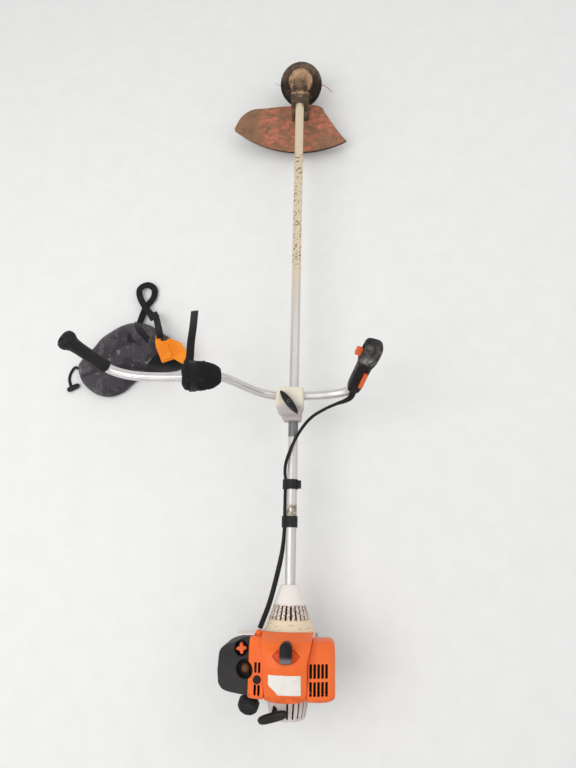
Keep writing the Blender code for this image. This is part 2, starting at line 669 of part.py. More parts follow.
def make_handlebar():
    route = smooth_route(BAR_ROUTE, BAR_SPACING)
    bar = as_mesh(pipe("handlebar_tube", route, BAR_RADIUS, LOOKS["tube"], 3, caps=False), LOOKS["tube"])
    solidify(bar, 0.002)
    frame = axis_matrix(GRIP_START, GRIP_DIRECTION)
    bore = BAR_RADIUS + 0.0022
    grip = [
        (0.0, 0.122), (0.012, 0.1215), (0.0195, 0.117), (0.0215, 0.109), (0.0195, 0.101), (0.0160, 0.094),
        (0.0150, 0.060), (0.0155, 0.020), (0.0170, 0.006), (0.0160, 0.0), (bore, 0.0), (bore, 0.079),
        (0.0, 0.079),
    ]
    turned("left_grip", grip, LOOKS["rubber"], frame, 16)


HANDLE = axis_matrix(HANDLE_START, HANDLE_DIRECTION)
# stack() lofts along its frame's Y, so this frame's Y is the handle's length and its Z faces the operator.
HANDLE_LOFT = HANDLE @ Matrix(((1, 0, 0, 0), (0, 0, -1, 0), (0, 1, 0, 0), (0, 0, 0, 1)))


def make_control_handle():
    handle = stack(
        "control_handle",
        [
            (0.000, -0.0165, 0.0165, -0.0170, 0.0220), (0.020, -0.0180, 0.0180, -0.0180, 0.0215),
            (0.080, -0.0180, 0.0180, -0.0180, 0.0190), (0.102, -0.0245, 0.0235, -0.0230, 0.0250),
            (0.148, -0.0245, 0.0235, -0.0230, 0.0240), (0.157, -0.0200, 0.0200, -0.0180, 0.0180),
        ],
        LOOKS["black"], matrix=HANDLE_LOFT,
    )
    bevel(handle, 0.007)
    bar_end = smooth_route(BAR_ROUTE, BAR_SPACING)[-9:]
    socket = as_mesh(pipe("bar_socket", bar_end, BAR_RADIUS + 0.0006, None, 3), None)
    socket_end = rod("socket_end", HANDLE @ Vector((0, 0, 0.030)), HANDLE @ Vector((0, 0, 0.050)), 0.0120,
                     None)
    cut(
        handle, socket, socket_end,
        block("trigger_slot", (-0.0070, 0.0030, 0.056), (0.0070, 0.035, 0.0985), None, 0, HANDLE),
        block("trigger_recess", (-0.0070, 0.0125, 0.028), (0.0070, 0.035, 0.058), None, 0, HANDLE),
        block("interlock_slot", (0.0025, -0.030, 0.0235), (0.0135, -0.0135, 0.0690), None, 0, HANDLE),
        block("switch_slot", (-0.030, -0.0085, 0.1035), (-0.0185, 0.0045, 0.1355), None, 0, HANDLE),
    )
    trigger = block("throttle_trigger", (-0.0060, 0.0120, 0.0575), (0.0060, 0.0270, 0.0970),
                    LOOKS["black"], 0.003, HANDLE)
    blade = block("trigger_blade", (-0.0060, 0.0215, 0.0300), (0.0060, 0.0290, 0.0700), None, 0.003, HANDLE)
    join(trigger, blade)
    block("throttle_interlock", (0.0035, -0.0265, 0.0245), (0.0125, -0.0170, 0.0680), LOOKS["button"],
          0.0015, HANDLE)
    block("stop_switch", (-0.0345, -0.0075, 0.1045), (-0.0190, 0.0035, 0.1250), LOOKS["button"], 0.002,
          HANDLE)


def make_pad_on_bar():
    bm = bmesh.new()
    bmesh.ops.create_uvsphere(bm, u_segments=14, v_segments=8, radius=1.0)
    for vertex in bm.verts:
        vertex.co = Vector((vertex.co.x * 0.037, vertex.co.y * 0.036, vertex.co.z * 0.046))
    frame = axis_matrix((-0.206, 0.638, 0.330), (-0.92, -0.12, 0.30))
    pad = placed("bar_pad", mesh_from(bm, "bar_pad"), LOOKS["foam"], frame)
    route = smooth_route(BAR_ROUTE, BAR_SPACING)
    near = [p for p in route if -0.30 < p.x < -0.12]
    cut(pad, as_mesh(pipe("pad_bore", near, BAR_RADIUS + 0.0008, None, 3), None))
    strap = [(-0.230, 0.6680, 0.344), (-0.238, 0.720, 0.351), (-0.242, 0.768, 0.336), (-0.247, 0.818, 0.300)]
    ribbon("pad_strap", smooth_route(strap, 0.02), 0.017, 0.002, LOOKS["webbing"])


def tube_band(name, centre_y, width, look):
    """A band round the drive tube and the throttle cable beside it."""
    low, high = centre_y - width / 2, centre_y + width / 2
    band = rod(name, (0, low, SHAFT_HEIGHT), (0, high, SHAFT_HEIGHT), TUBE_RADIUS + 0.0028, look, 24)
    join(band, rod(name + "_lobe", (CABLE_SIDE, low, SHAFT_HEIGHT), (CABLE_SIDE, high, SHAFT_HEIGHT),
                   CABLE_RADIUS + 0.0028, None))
    bores = (
        rod(name + "_tube_bore", (0, low - 0.01, SHAFT_HEIGHT), (0, high + 0.01, SHAFT_HEIGHT),
            TUBE_RADIUS + GAP, None, 28),
        rod(name + "_cable_bore", (CABLE_SIDE, low - 0.01, SHAFT_HEIGHT),
            (CABLE_SIDE, high + 0.01, SHAFT_HEIGHT), CABLE_RADIUS + 0.0004, None),
    )
    return band, bores


def make_bands_and_cable():
    clamp, bores = tube_band("carrying_clamp", RING_CENTRE_Y, 0.024, LOOKS["black"])
    join(
        clamp,
        block("clamp_ear", (0.0139, 0.4035, 0.1337), (0.0225, 0.4225, 0.1508), None),
        block("ring_lug", (-0.0060, 0.4105, 0.1130), (0.0060, 0.4155, 0.1278), None),
    )
    cut(clamp, *bores, rod("lug_hole", (0, 0.40, 0.1185), (0, 0.43, 0.1185), 0.0035, None))
    radius, wire = 0.0150, 0.0020
    low = 0.1185 - radius
    ring = [(0.0, RING_CENTRE_Y + radius * math.cos(a), low + radius * math.sin(a))
            for a in (math.tau * i / 24 for i in range(24))]
    pipe("carrying_ring", ring, wire, LOOKS["steel"], cyclic=True)
    clip, bores = tube_band("cable_clip", CLIP_CENTRE_Y, 0.027, LOOKS["black"])
    cut(clip, *bores)
    pipe("throttle_cable", smooth_route(CABLE_ROUTE, 0.022), CABLE_RADIUS, LOOKS["rubber"])


# Gearbox, cutting head and deflector --------------------------------------------------------------------


def make_gearbox():
    neck = [
        (0.0, 1.7010), (0.0150, 1.6990), (0.0215, 1.6920), (0.0235, 1.6780), (0.0225, 1.6500),
        (0.0205, 1.6250), (0.0225, 1.6130), (0.0225, 1.6000), (0.0, 1.6000),
    ]
    housing = turned("gear_housing", neck, LOOKS["gearcase"], ALONG_SHAFT, 24)
    barrel = [
        (0.0, -0.0170), (0.0140, -0.0155), (0.0230, -0.0080), (0.0240, 0.0150), (0.0300, 0.0220),
        (0.0390, 0.0290), (0.0395, 0.0360), (0.0, 0.0360),
    ]
    join(housing, turned("output_barrel", barrel, None, OUTPUT, 28))
    tube_bore = TUBE_RADIUS + GAP
    cavity = [
        (0.0, 1.6880), (0.0175, 1.6880), (0.0175, 1.6180), (tube_bore, 1.6180), (tube_bore, 1.59),
        (0.0, 1.59),
    ]
    output = [(0.0, -0.0070), (0.0175, -0.0070), (0.0175, 0.0500), (0.0, 0.0500)]
    cut(housing, turned("gear_cavity", cavity, None, ALONG_SHAFT, 24),
        turned("output_cavity", output, None, OUTPUT, 24))
    bearing = [(0.0066, 0.0200), (0.0172, 0.0200), (0.0172, 0.0290), (0.0066, 0.0290)]
    turned("output_bearing", bearing, LOOKS["steel"], OUTPUT, 20)
    towards_apex = OUTPUT @ Matrix.Translation((0, 0, 0.0042)) @ Matrix.Rotation(math.pi, 4, "X")
    toothed("output_gear", GEAR_TEETH, 0.0140, 0.0082, 0.0014, 0.0012, 0.0063, LOOKS["steel"], towards_apex)
    shaft = [(0.0, 0.0030), (0.006, 0.0030), (0.006, 0.0860), (0.0, 0.0860)]
    turned("output_shaft", shaft, LOOKS["steel"], OUTPUT, 16)


def make_cutting_head():
    cup = [
        (0.0064, 0.0490), (0.0180, 0.0490), (0.0240, 0.0560), (0.0590, 0.0595), (0.0660, 0.0630),
        (HEAD_RADIUS, 0.0700), (0.0640, 0.0980), (0.0605, 0.0980), (0.0630, 0.0715), (0.0610, 0.0665),
        (0.0560, 0.0640), (0.0064, 0.0610),
    ]
    housing = turned("head_housing", cup, LOOKS["head"], OUTPUT, 28)
    eyelet_height = 0.080
    eyelets = rod("line_eyelets", OUTPUT @ Vector((-0.09, 0, eyelet_height)),
                  OUTPUT @ Vector((0.09, 0, eyelet_height)), 0.0028, None, 12)
    cut(housing, eyelets)
    spool = [
        (0.0, 0.0940), (0.0064, 0.0940), (0.0064, 0.0720), (0.0460, 0.0720), (0.0460, 0.0745),
        (0.0200, 0.0745), (0.0200, 0.0885), (0.0460, 0.0885), (0.0460, 0.0910), (0.0320, 0.0930),
        (0.0310, 0.1080), (0.0240, 0.1130), (0.0, 0.1130),
    ]
    turned("line_spool", spool, LOOKS["head"], OUTPUT, 20)
    line_routes = {
        "line_left": [
            (-0.049, 0.0, 0.080), (-0.062, 0.0, 0.080), (-0.074, -0.003, 0.080), (-0.087, -0.008, 0.0795),
        ],
        "line_right": [
            (0.049, 0.0, 0.080), (0.062, 0.0, 0.080), (0.080, 0.006, 0.080), (0.102, 0.024, 0.080),
        ],
    }
    for name, points in line_routes.items():
        route = smooth_route([OUTPUT @ Vector(p) for p in points], 0.008)
        pipe(name, route, 0.0012, LOOKS["line"])


DEFLECTOR = axis_matrix(
    (0.0, 1.660, 0.103), (0.0, -math.sin(DEFLECTOR_SLOPE), math.cos(DEFLECTOR_SLOPE))
)
ARC_CENTRE_U, ARC_RADIUS = -0.162, 0.351
DEFLECTOR_LEFT, DEFLECTOR_RIGHT = -0.211, 0.145
SKIRT_DEPTH = 0.0364


def deflector_arc(x):
    """How far behind the clamp the deflector's rear edge lies, at this x."""
    return ARC_CENTRE_U + math.sqrt(ARC_RADIUS**2 - x**2)


def make_deflector():
    front = [
        (-0.212, 0.109), (-0.200, 0.085), (-0.184, 0.066), (-0.153, 0.050), (-0.110, 0.047), (-0.070, 0.044),
        (-0.036, 0.042), (0.000, 0.040), (0.027, 0.039), (0.065, 0.048), (0.081, 0.071), (0.103, 0.102),
        (0.120, 0.126), (0.134, 0.144), (0.145, 0.157),
    ]
    count = len(front) - 1
    rows = [[] for _ in range(6)]
    for i, (x, u) in enumerate(front):
        rear_x = DEFLECTOR_LEFT + (DEFLECTOR_RIGHT - DEFLECTOR_LEFT) * i / count
        rear_u = deflector_arc(rear_x) + (0.002 if i in (0, count) else 0.0)
        for row, (share, crown) in enumerate(((0.0, 0.0), (0.33, 0.002), (0.67, 0.0015), (1.0, 0.0))):
            point = (x + (rear_x - x) * share, -(u + (rear_u - u) * share), crown)
            rows[row].append(point)
        rows[4].append((rear_x * 1.004, -(rear_u + 0.0025), -0.004))
        rows[5].append((rear_x * 1.008, -(rear_u + 0.0035), -SKIRT_DEPTH))
    grid_shell("deflector", rows, 0.0028, LOOKS["guard"], -1.0, DEFLECTOR)
    bracket = stack(
        "deflector_bracket",
        [(1.5730, -0.0260, 0.0260, 0.0735, 0.1600), (1.5997, -0.0275, 0.0275, 0.0838, 0.1640)],
        LOOKS["gearcase"],
    )
    bevel(bracket, 0.003)
    cut(bracket, rod("bracket_bore", (0, 1.55, SHAFT_HEIGHT), (0, 1.62, SHAFT_HEIGHT), TUBE_RADIUS + GAP,
                     None, 28))
    turn = math.asin(-0.150 / ARC_RADIUS)
    frame = DEFLECTOR @ Matrix.Translation((-0.150, -deflector_arc(-0.150) + 0.006, 0.0)) \
        @ Matrix.Rotation(turn, 4, "Z")
    block("line_cutter", (-0.020, -0.001, -0.034), (0.020, 0.001, -0.008), LOOKS["steel"], 0, frame)


# Hip pad and its straps ---------------------------------------------------------------------------------


def make_harness():
    outline = [
        (-0.661, 0.741), (-0.635, 0.772), (-0.599, 0.800), (-0.561, 0.842), (-0.505, 0.880), (-0.465, 0.900),
        (-0.425, 0.889), (-0.375, 0.850), (-0.330, 0.806), (-0.312, 0.765), (-0.325, 0.735), (-0.386, 0.711),
        (-0.457, 0.693), (-0.501, 0.668), (-0.537, 0.652), (-0.575, 0.652), (-0.613, 0.672), (-0.645, 0.705),
    ]
    layers = [(0.97, 0.0), (1.0, 0.010), (0.94, 0.030), (0.78, 0.048), (0.55, 0.058), (0.28, 0.062)]
    mound("hip_pad", outline, layers, LOOKS["cloth"])
    plate = [
        (-0.391, 0.834), (-0.397, 0.807), (-0.370, 0.755), (-0.337, 0.772), (-0.312, 0.788), (-0.326, 0.816),
    ]
    mound("harness_plate", plate, [(1.0, 0.0545), (1.0, 0.0660), (0.97, 0.0685)], LOOKS["bright"])
    loop = [
        (-0.4855, 0.899, 0.010), (-0.466, 0.948, 0.010), (-0.447, 0.995, 0.008), (-0.440, 1.029, 0.008),
        (-0.466, 1.039, 0.010), (-0.488, 1.005, 0.014), (-0.479, 0.979, 0.018), (-0.458, 0.950, 0.022),
        (-0.436, 0.925, 0.030), (-0.416, 0.898, 0.045), (-0.402, 0.866, 0.0585), (-0.3935, 0.8350, 0.0615),
    ]
    ribbon("harness_strap", smooth_route(loop, 0.016), 0.018, 0.002, LOOKS["webbing"])
    side = [
        (-0.6500, 0.7590, 0.010), (-0.6640, 0.7570, 0.005), (-0.6790, 0.7380, 0.0015),
        (-0.6840, 0.7150, 0.0015), (-0.6760, 0.6950, 0.0015),
    ]
    ribbon("side_strap", smooth_route(side, 0.012), 0.006, 0.002, LOOKS["webbing"])


def main():
    make_drive_tube()
    make_drive_line()
    make_clutch_housing()
    make_fan_housing()
    make_crank_group()
    make_crankcase_and_cylinder()
    make_spark_plug()
    make_shrouds()
    make_muffler_and_intake()
    make_tank()
    make_starter()
    make_handle_support()
    make_bar_clamp()
    make_handlebar()
    make_control_handle()
    make_pad_on_bar()
    make_bands_and_cable()
    make_gearbox()
    make_cutting_head()
    make_deflector()
    make_harness()


clear_scene()
PARTS = new_collection("brush_cutter")
CUTTERS = new_collection("cutters")
LOOKS = make_materials()
main()
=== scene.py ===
"""The looks of the brush cutter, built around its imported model.

Metres, in the frame of the model: +Y runs along the drive tube to the cutting head, +X is the operator's
right and +Z is up. Casings, grips, the bar, the guard, the cable and the soft goods are made here in full
detail. The other pieces keep their own shape and get a finish.
"""

import math

import bmesh
import bpy
import numpy as np
from mathutils import Matrix, Vector, noise
from mathutils.bvhtree import BVHTree


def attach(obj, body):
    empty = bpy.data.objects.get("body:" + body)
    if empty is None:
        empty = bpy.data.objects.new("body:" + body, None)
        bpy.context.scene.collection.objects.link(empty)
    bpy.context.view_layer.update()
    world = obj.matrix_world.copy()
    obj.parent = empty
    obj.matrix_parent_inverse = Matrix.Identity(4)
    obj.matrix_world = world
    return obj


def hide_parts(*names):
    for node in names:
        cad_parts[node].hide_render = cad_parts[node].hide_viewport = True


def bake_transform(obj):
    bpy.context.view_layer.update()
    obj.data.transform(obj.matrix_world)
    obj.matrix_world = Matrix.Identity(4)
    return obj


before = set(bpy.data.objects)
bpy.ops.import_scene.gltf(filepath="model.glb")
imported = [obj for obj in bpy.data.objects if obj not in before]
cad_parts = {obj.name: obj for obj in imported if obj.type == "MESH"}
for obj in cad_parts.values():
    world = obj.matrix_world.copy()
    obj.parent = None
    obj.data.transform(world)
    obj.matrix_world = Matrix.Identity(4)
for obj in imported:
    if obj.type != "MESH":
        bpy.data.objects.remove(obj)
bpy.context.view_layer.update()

UP = (0.0, 0.0, 1.0)
SHAFT_HEIGHT = 0.142
GEAR_CENTRE = Vector((0.0, 1.678, SHAFT_HEIGHT))
OUTPUT_TILT = math.radians(30)
BAR_RADIUS = 0.011
CABLE_RADIUS = 0.004
CABLE_SIDE = -0.017
PRIMER = Vector((-0.091, 0.002, 0.196))
CHOKE = Vector((-0.101, 0.043, 0.2))
CAP_CENTRE = Vector((-0.092, -0.089, 0.122))
CAP_AXIS = Vector((-0.1, -0.55, 0.83)).normalized()
CLAMP_SCREW = Vector((-0.007, 0.604, 0.168))
HANDLE_START = Vector((0.15, 0.643, 0.22))
HANDLE_DIRECTION = Vector((0.313, 0.501, 0.807)).normalized()
GRIP_START = Vector((-0.424, 0.65, 0.3575))
GRIP_DIRECTION = Vector((-0.56, 0.314, 0.766)).normalized()
STARTER_EXIT = Vector((-0.026, -0.082, 0.177))
STARTER_PULL = Vector((-0.12, -0.45, 0.885)).normalized()
DEFLECTOR_SLOPE = math.radians(21)

BAR_ROUTE = [
    (-0.466, 0.6736, 0.4149), (-0.441, 0.6595, 0.3807), (-0.4245, 0.6502, 0.3582), (-0.4, 0.641, 0.349),
    (-0.365, 0.634, 0.345), (-0.32, 0.631, 0.343), (-0.27, 0.631, 0.342), (-0.23, 0.633, 0.339),
    (-0.195, 0.639, 0.33), (-0.162, 0.643, 0.303), (-0.134, 0.642, 0.265), (-0.105, 0.638, 0.226),
    (-0.077, 0.634, 0.2), (-0.046, 0.631, 0.188), (-0.02, 0.631, 0.187), (0.01, 0.631, 0.187),
    (0.036, 0.631, 0.187), (0.069, 0.632, 0.189), (0.106, 0.635, 0.194), (0.134, 0.638, 0.205),
    (0.15, 0.643, 0.22), (0.157, 0.654, 0.238), (0.164, 0.6655, 0.2563),
]
CABLE_ROUTE = [
    (0.1499, 0.6288, 0.2284), (0.145, 0.6215, 0.211), (0.133, 0.616, 0.199), (0.112, 0.611, 0.188),
    (0.08, 0.598, 0.18), (0.046, 0.578, 0.17), (0.018, 0.544, 0.1635), (-0.003, 0.503, 0.1605),
    (-0.016, 0.466, 0.1525), (-0.0185, 0.442, 0.1445), (CABLE_SIDE, 0.427, 0.142),
    (CABLE_SIDE, 0.395, 0.142), (CABLE_SIDE, 0.35, 0.142), (CABLE_SIDE, 0.302, 0.142),
    (-0.0205, 0.255, 0.142), (-0.031, 0.2, 0.144), (-0.047, 0.135, 0.153), (-0.0655, 0.0815, 0.173),
]


# Camera, floor and light --------------------------------------------------------------------------------

FLOOR_DROP = 0.0006
WORLD_LIGHT = 0.68
STUDIO_AIM = (0.0, 0.7, 0.1)


def make_camera():
    data = bpy.data.cameras.new("camera")
    data.lens = 27.05
    data.sensor_width = 36.0
    camera = bpy.data.objects.new("camera", data)
    right = (0.99776, 0.0223, -0.06302)
    up = (-0.00308, 0.95706, 0.28986)
    back = (0.06678, -0.28902, 0.95499)
    camera.matrix_world = Matrix.Translation((0.0854, 0.236, 1.5956)) @ (
        Matrix((right, up, back)).transposed().to_4x4()
    )
    bpy.context.scene.collection.objects.link(camera)
    bpy.context.scene.camera = camera


def softbox(name, place, aim, size, power):
    data = bpy.data.lights.new(name, "AREA")
    data.shape = "SQUARE"
    data.size = size
    data.energy = power
    lamp = bpy.data.objects.new(name, data)
    lamp.location = place
    lamp.rotation_euler = (Vector(aim) - Vector(place)).to_track_quat("-Z", "Y").to_euler()
    bpy.context.scene.collection.objects.link(lamp)


def make_studio():
    world = bpy.data.worlds.new("studio")
    world.use_nodes = True
    sky = world.node_tree.nodes["Background"]
    sky.inputs["Color"].default_value = (1.0, 1.0, 1.0, 1.0)
    sky.inputs["Strength"].default_value = WORLD_LIGHT
    bpy.context.scene.world = world
    bpy.context.scene.view_settings.view_transform = "Standard"
    softbox("key", (-1.3, 0.2, 2.6), STUDIO_AIM, 1.8, 28)
    softbox("fill", (1.6, 1.4, 2.2), STUDIO_AIM, 2.2, 9)
    bm = bmesh.new()
    bmesh.ops.create_grid(bm, x_segments=1, y_segments=1, size=6.0)
    mesh = bpy.data.meshes.new("floor")
    bm.to_mesh(mesh)
    bm.free()
    floor = bpy.data.objects.new("floor", mesh)
    floor.location.z = -FLOOR_DROP
    bpy.context.scene.collection.objects.link(floor)
    mesh.materials.append(coat("pale_floor", (0.88, 0.88, 0.87), (0.86, 0.86, 0.85), (0.85, 0.95)))


# Finishes -----------------------------------------------------------------------------------------------

EVEN = (1.0, 1.0, 1.0)


class Finish:
    """A material being built: its node tree, its shader, and the colour, bump and roughness so far."""

    def __init__(self, name, colour, metallic=0.0):
        self.material = bpy.data.materials.new(name)
        self.material.use_nodes = True
        self.tree = self.material.node_tree
        self.shader = self.tree.nodes["Principled BSDF"]
        self.shader.inputs["Metallic"].default_value = metallic
        self.place = self.new("ShaderNodeTexCoord", {}).outputs["Object"]
        self.colour = (*colour, 1.0)
        self.height = None

    def new(self, kind, inputs, **settings):
        """A node with these settings, each of its inputs linked or set to a constant."""
        node = self.tree.nodes.new(kind)
        for key, value in settings.items():
            setattr(node, key, value)
        for name, value in inputs.items():
            self.feed(node.inputs[name], value)
        return node

    def feed(self, socket, value):
        if isinstance(value, bpy.types.NodeSocket):
            self.tree.links.new(value, socket)
        else:
            socket.default_value = value

    def stretched(self, scale):
        return self.new("ShaderNodeMapping", {"Vector": self.place, "Scale": scale}).outputs["Vector"]

    def noise(self, scale, detail=4.0, stretch=EVEN):
        inputs = {"Vector": self.stretched(stretch), "Scale": scale, "Detail": detail, "Roughness": 0.62}
        return self.new("ShaderNodeTexNoise", inputs).outputs["Fac"]

    def cells(self, scale):
        inputs = {"Vector": self.stretched(EVEN), "Scale": scale}
        return self.new("ShaderNodeTexVoronoi", inputs).outputs["Distance"]

    def waves(self, scale, direction):
        inputs = {"Vector": self.stretched(EVEN), "Scale": scale}
        node = self.new("ShaderNodeTexWave", inputs, wave_type="BANDS", bands_direction=direction)
        return node.outputs["Fac"]

    def ranged(self, value, low, high, to_low=0.0, to_high=1.0):
        inputs = {"Value": value, "From Min": low, "From Max": high, "To Min": to_low, "To Max": to_high}
        return self.new("ShaderNodeMapRange", inputs, interpolation_type="SMOOTHSTEP").outputs["Result"]

    def patches(self, scale, detail, low, high, most=1.0, stretch=EVEN):
        """Uneven patches, from nothing where the noise is below low to most where it is above high."""
        return self.ranged(self.noise(scale, detail, stretch), low, high, 0.0, most)

    def maths(self, operation, a, b):
        return self.new("ShaderNodeMath", {0: a, 1: b}, operation=operation).outputs[0]

    def times(self, a, b):
        return self.maths("MULTIPLY", a, b)

    def along(self, axis):
        return self.new("ShaderNodeSeparateXYZ", {0: self.place}).outputs[axis]

    def zone(self, axis, low, high, soft):
        """One between low and high along an axis, fading to nothing over soft."""
        rise = self.ranged(self.along(axis), low - soft, low)
        fall = self.ranged(self.along(axis), high, high + soft, 1.0, 0.0)
        return self.times(rise, fall)

    def painted(self, name):
        """A value written on the mesh where the piece is made."""
        return self.new("ShaderNodeAttribute", {}, attribute_name=name).outputs["Fac"]

    def over(self, mask, colour):
        """Another colour laid over the colour so far, as far as the mask says."""
        inputs = {"Factor": mask, 6: self.colour, 7: (*colour, 1.0)}
        self.colour = self.new("ShaderNodeMix", inputs, data_type="RGBA").outputs[2]

    def raised(self, value, amount):
        scaled = self.times(value, amount)
        self.height = scaled if self.height is None else self.maths("ADD", self.height, scaled)

    def done(self, roughness):
        self.feed(self.shader.inputs["Base Color"], self.colour)
        self.shader.inputs["Specular IOR Level"].default_value = 0.18
        low, high = roughness
        self.feed(self.shader.inputs["Roughness"], self.ranged(self.noise(45.0), 0.3, 0.7, low, high))
        if self.height is not None:
            bump = self.new("ShaderNodeBump", {"Distance": 0.001, "Height": self.height})
            self.feed(self.shader.inputs["Normal"], bump.outputs["Normal"])
        return self.material


def coat(name, colour, second, roughness, metallic=0.0, grain=(900.0, 0.1), soil=None, scuffs=None):
    """A moulded, cast or painted surface: uneven colour, a fine grain, soil in patches and pale scuffs."""
    f = Finish(name, colour, metallic)
    f.over(f.patches(14.0, 4.0, 0.35, 0.65), second)
    if soil:
        soil_colour, amount, scale = soil
        f.over(f.ranged(f.noise(scale, 8.0), 0.72 - amount, 0.78 - amount / 2), soil_colour)
    if scuffs:
        scuff_colour, amount = scuffs
        streaks = f.noise(120.0, 6.0, (1.0, 0.22, 1.0))
        f.over(f.ranged(streaks, 0.74 - amount, 0.8 - amount), scuff_colour)
    scale, strength = grain
    f.raised(f.noise(scale, 3.0), strength)
    return f.done(roughness)


def tube_finish():
    """Drawn aluminium with fine lines along it, specks, and soil that thickens towards the head."""
    f = Finish("drawn_tube", (0.74, 0.72, 0.69), 0.6)
    f.over(f.patches(60.0, 5.0, 0.4, 0.66, 0.6, (1.0, 0.03, 1.0)), (0.5, 0.48, 0.46))
    f.over(f.patches(210.0, 3.0, 0.68, 0.72, 0.8), (0.2, 0.18, 0.15))
    f.over(f.times(f.zone(1, 1.1, 1.7, 0.28), 0.85), (0.86, 0.71, 0.49))
    speckle = f.patches(170.0, 10.0, 0.535, 0.6, 1.0, (1, 0.75, 1))
    patches = f.patches(22.0, 5.0, 0.36, 0.52)
    heavy = f.times(f.zone(1, 1.05, 1.38, 0.06), f.times(speckle, patches))
    f.over(heavy, (0.2, 0.105, 0.055))
    patch = f.times(f.zone(1, 0.337, 0.357, 0.01), f.patches(110.0, 8.0, 0.42, 0.54))
    f.over(patch, (0.26, 0.22, 0.15))
    f.over(f.times(f.zone(1, 0.535, 0.58, 0.004), 0.9), (0.17, 0.165, 0.17))
    f.raised(f.noise(260.0, 3.0, (1.0, 0.04, 1.0)), 0.1)
    return f.done((0.3, 0.48))


def bar_finish():
    f = Finish("fluted_bar", (0.8, 0.78, 0.77), 0.75)
    f.over(f.patches(30.0, 5.0, 0.42, 0.7, 0.6), (0.66, 0.62, 0.61))
    # painted shade in the grooves of the fluted bar
    f.over(f.painted("flute_shade"), (0.45, 0.43, 0.43))
    f.raised(f.noise(420.0, 3.0), 0.08)
    return f.done((0.26, 0.42))


def shroud_finish():
    """Worn orange plastic: painted shade in the recess, dusty scuffs, and soil along the lower edges."""
    f = Finish("worn_orange", (0.91, 0.155, 0.028))
    f.over(f.patches(11.0, 4.0, 0.38, 0.66, 0.5), (0.95, 0.21, 0.05))
    # painted shade: the lens-shaped recess around the boot is darker orange-red
    f.over(f.painted("recess_shade"), (0.78, 0.085, 0.012))
    f.over(f.patches(150.0, 7.0, 0.7, 0.76, 0.6, (1.0, 0.25, 1.0)), (0.97, 0.42, 0.22))
    f.over(f.patches(95.0, 9.0, 0.7, 0.75, 0.5), (0.4, 0.09, 0.03))
    f.over(f.times(f.zone(1, -0.08, -0.048, 0.01), f.patches(60.0, 8.0, 0.36, 0.74, 0.8)),
           (0.5, 0.085, 0.025))
    f.raised(f.noise(1100.0, 2.0), 0.06)
    f.raised(f.noise(45.0, 3.0), 0.1)
    f.shader.inputs["Coat Weight"].default_value = 0.05
    return f.done((0.32, 0.48))


def cone_finish():
    """Cream plastic with rusty soil around the cooling slots."""
    f = Finish("cream_cone", (0.87, 0.81, 0.76))
    f.over(f.zone(1, 0.07, 0.098, 0.01), (0.86, 0.72, 0.52))
    stain = f.times(f.zone(1, 0.102, 0.13, 0.006), f.patches(300.0, 9.0, 0.44, 0.6, 0.9))
    f.over(stain, (0.34, 0.18, 0.09))
    rings = f.times(f.zone(1, 0.079, 0.093, 0.003), f.patches(90.0, 8.0, 0.56, 0.66, 1.0, (0.5, 2.6, 1)))
    f.over(rings, (0.5, 0.36, 0.24))
    f.over(f.patches(230.0, 8.0, 0.66, 0.71, 0.6), (0.42, 0.34, 0.28))
    f.raised(f.noise(700.0, 3.0), 0.1)
    return f.done((0.48, 0.62))


def clamp_finish():
    """Cream plastic that has yellowed in front and turned lilac-grey towards the operator."""
    f = Finish("cream_clamp", (0.84, 0.78, 0.64))
    f.over(f.times(f.zone(1, 0.5, 0.592, 0.016), 0.85), (0.5, 0.45, 0.46))
    f.over(f.patches(120.0, 8.0, 0.64, 0.69, 0.75), (0.5, 0.34, 0.18))
    f.raised(f.noise(700.0, 3.0), 0.12)
    return f.done((0.48, 0.62))


def guard_finish():
    """A red guard under dried soil, scuffed back to bare red in streaks, its skirt nearly black."""
    f = Finish("scuffed_guard", (0.225, 0.13, 0.075))
    f.over(f.patches(24.0, 7.0, 0.4, 0.62), (0.3, 0.165, 0.095))
    broad = f.patches(13.0, 3.0, 0.28, 0.54, 1.0, (0.6, 1.5, 1.0))
    fine = f.patches(62.0, 11.0, 0.36, 0.72, 1.0, (0.7, 1.3, 1.0))
    worn = f.times(f.zone(0, -0.105, 0.2, 0.05), f.times(broad, fine))
    f.over(worn, (0.66, 0.185, 0.12))
    f.over(f.times(worn, f.patches(150.0, 8.0, 0.56, 0.66, 0.7)), (0.8, 0.4, 0.31))
    f.over(f.patches(240.0, 9.0, 0.56, 0.66, 0.75), (0.1, 0.062, 0.04))
    f.over(f.painted("skirt"), (0.02, 0.015, 0.014))
    f.raised(f.noise(160.0, 8.0), 0.55)
    return f.done((0.72, 0.92))


def soiled_and_shaded(name, colour, dust, share):
    """A dark piece caked in dry soil, with painted shade where the mesh was marked with a painted shade
    value.
    """
    f = Finish(name, colour)
    f.over(f.ranged(f.noise(48.0, 9.0), 0.62 - share, 0.7 - share / 2), dust)
    f.over(f.patches(230.0, 8.0, 0.56, 0.68, 0.8), (0.06, 0.04, 0.028))
    # painted shade: near-black where the mesh was marked with shade
    f.over(f.painted("painted_shade"), (0.022, 0.017, 0.014))
    f.raised(f.noise(140.0, 9.0), 0.75)
    return f.done((0.74, 0.94))


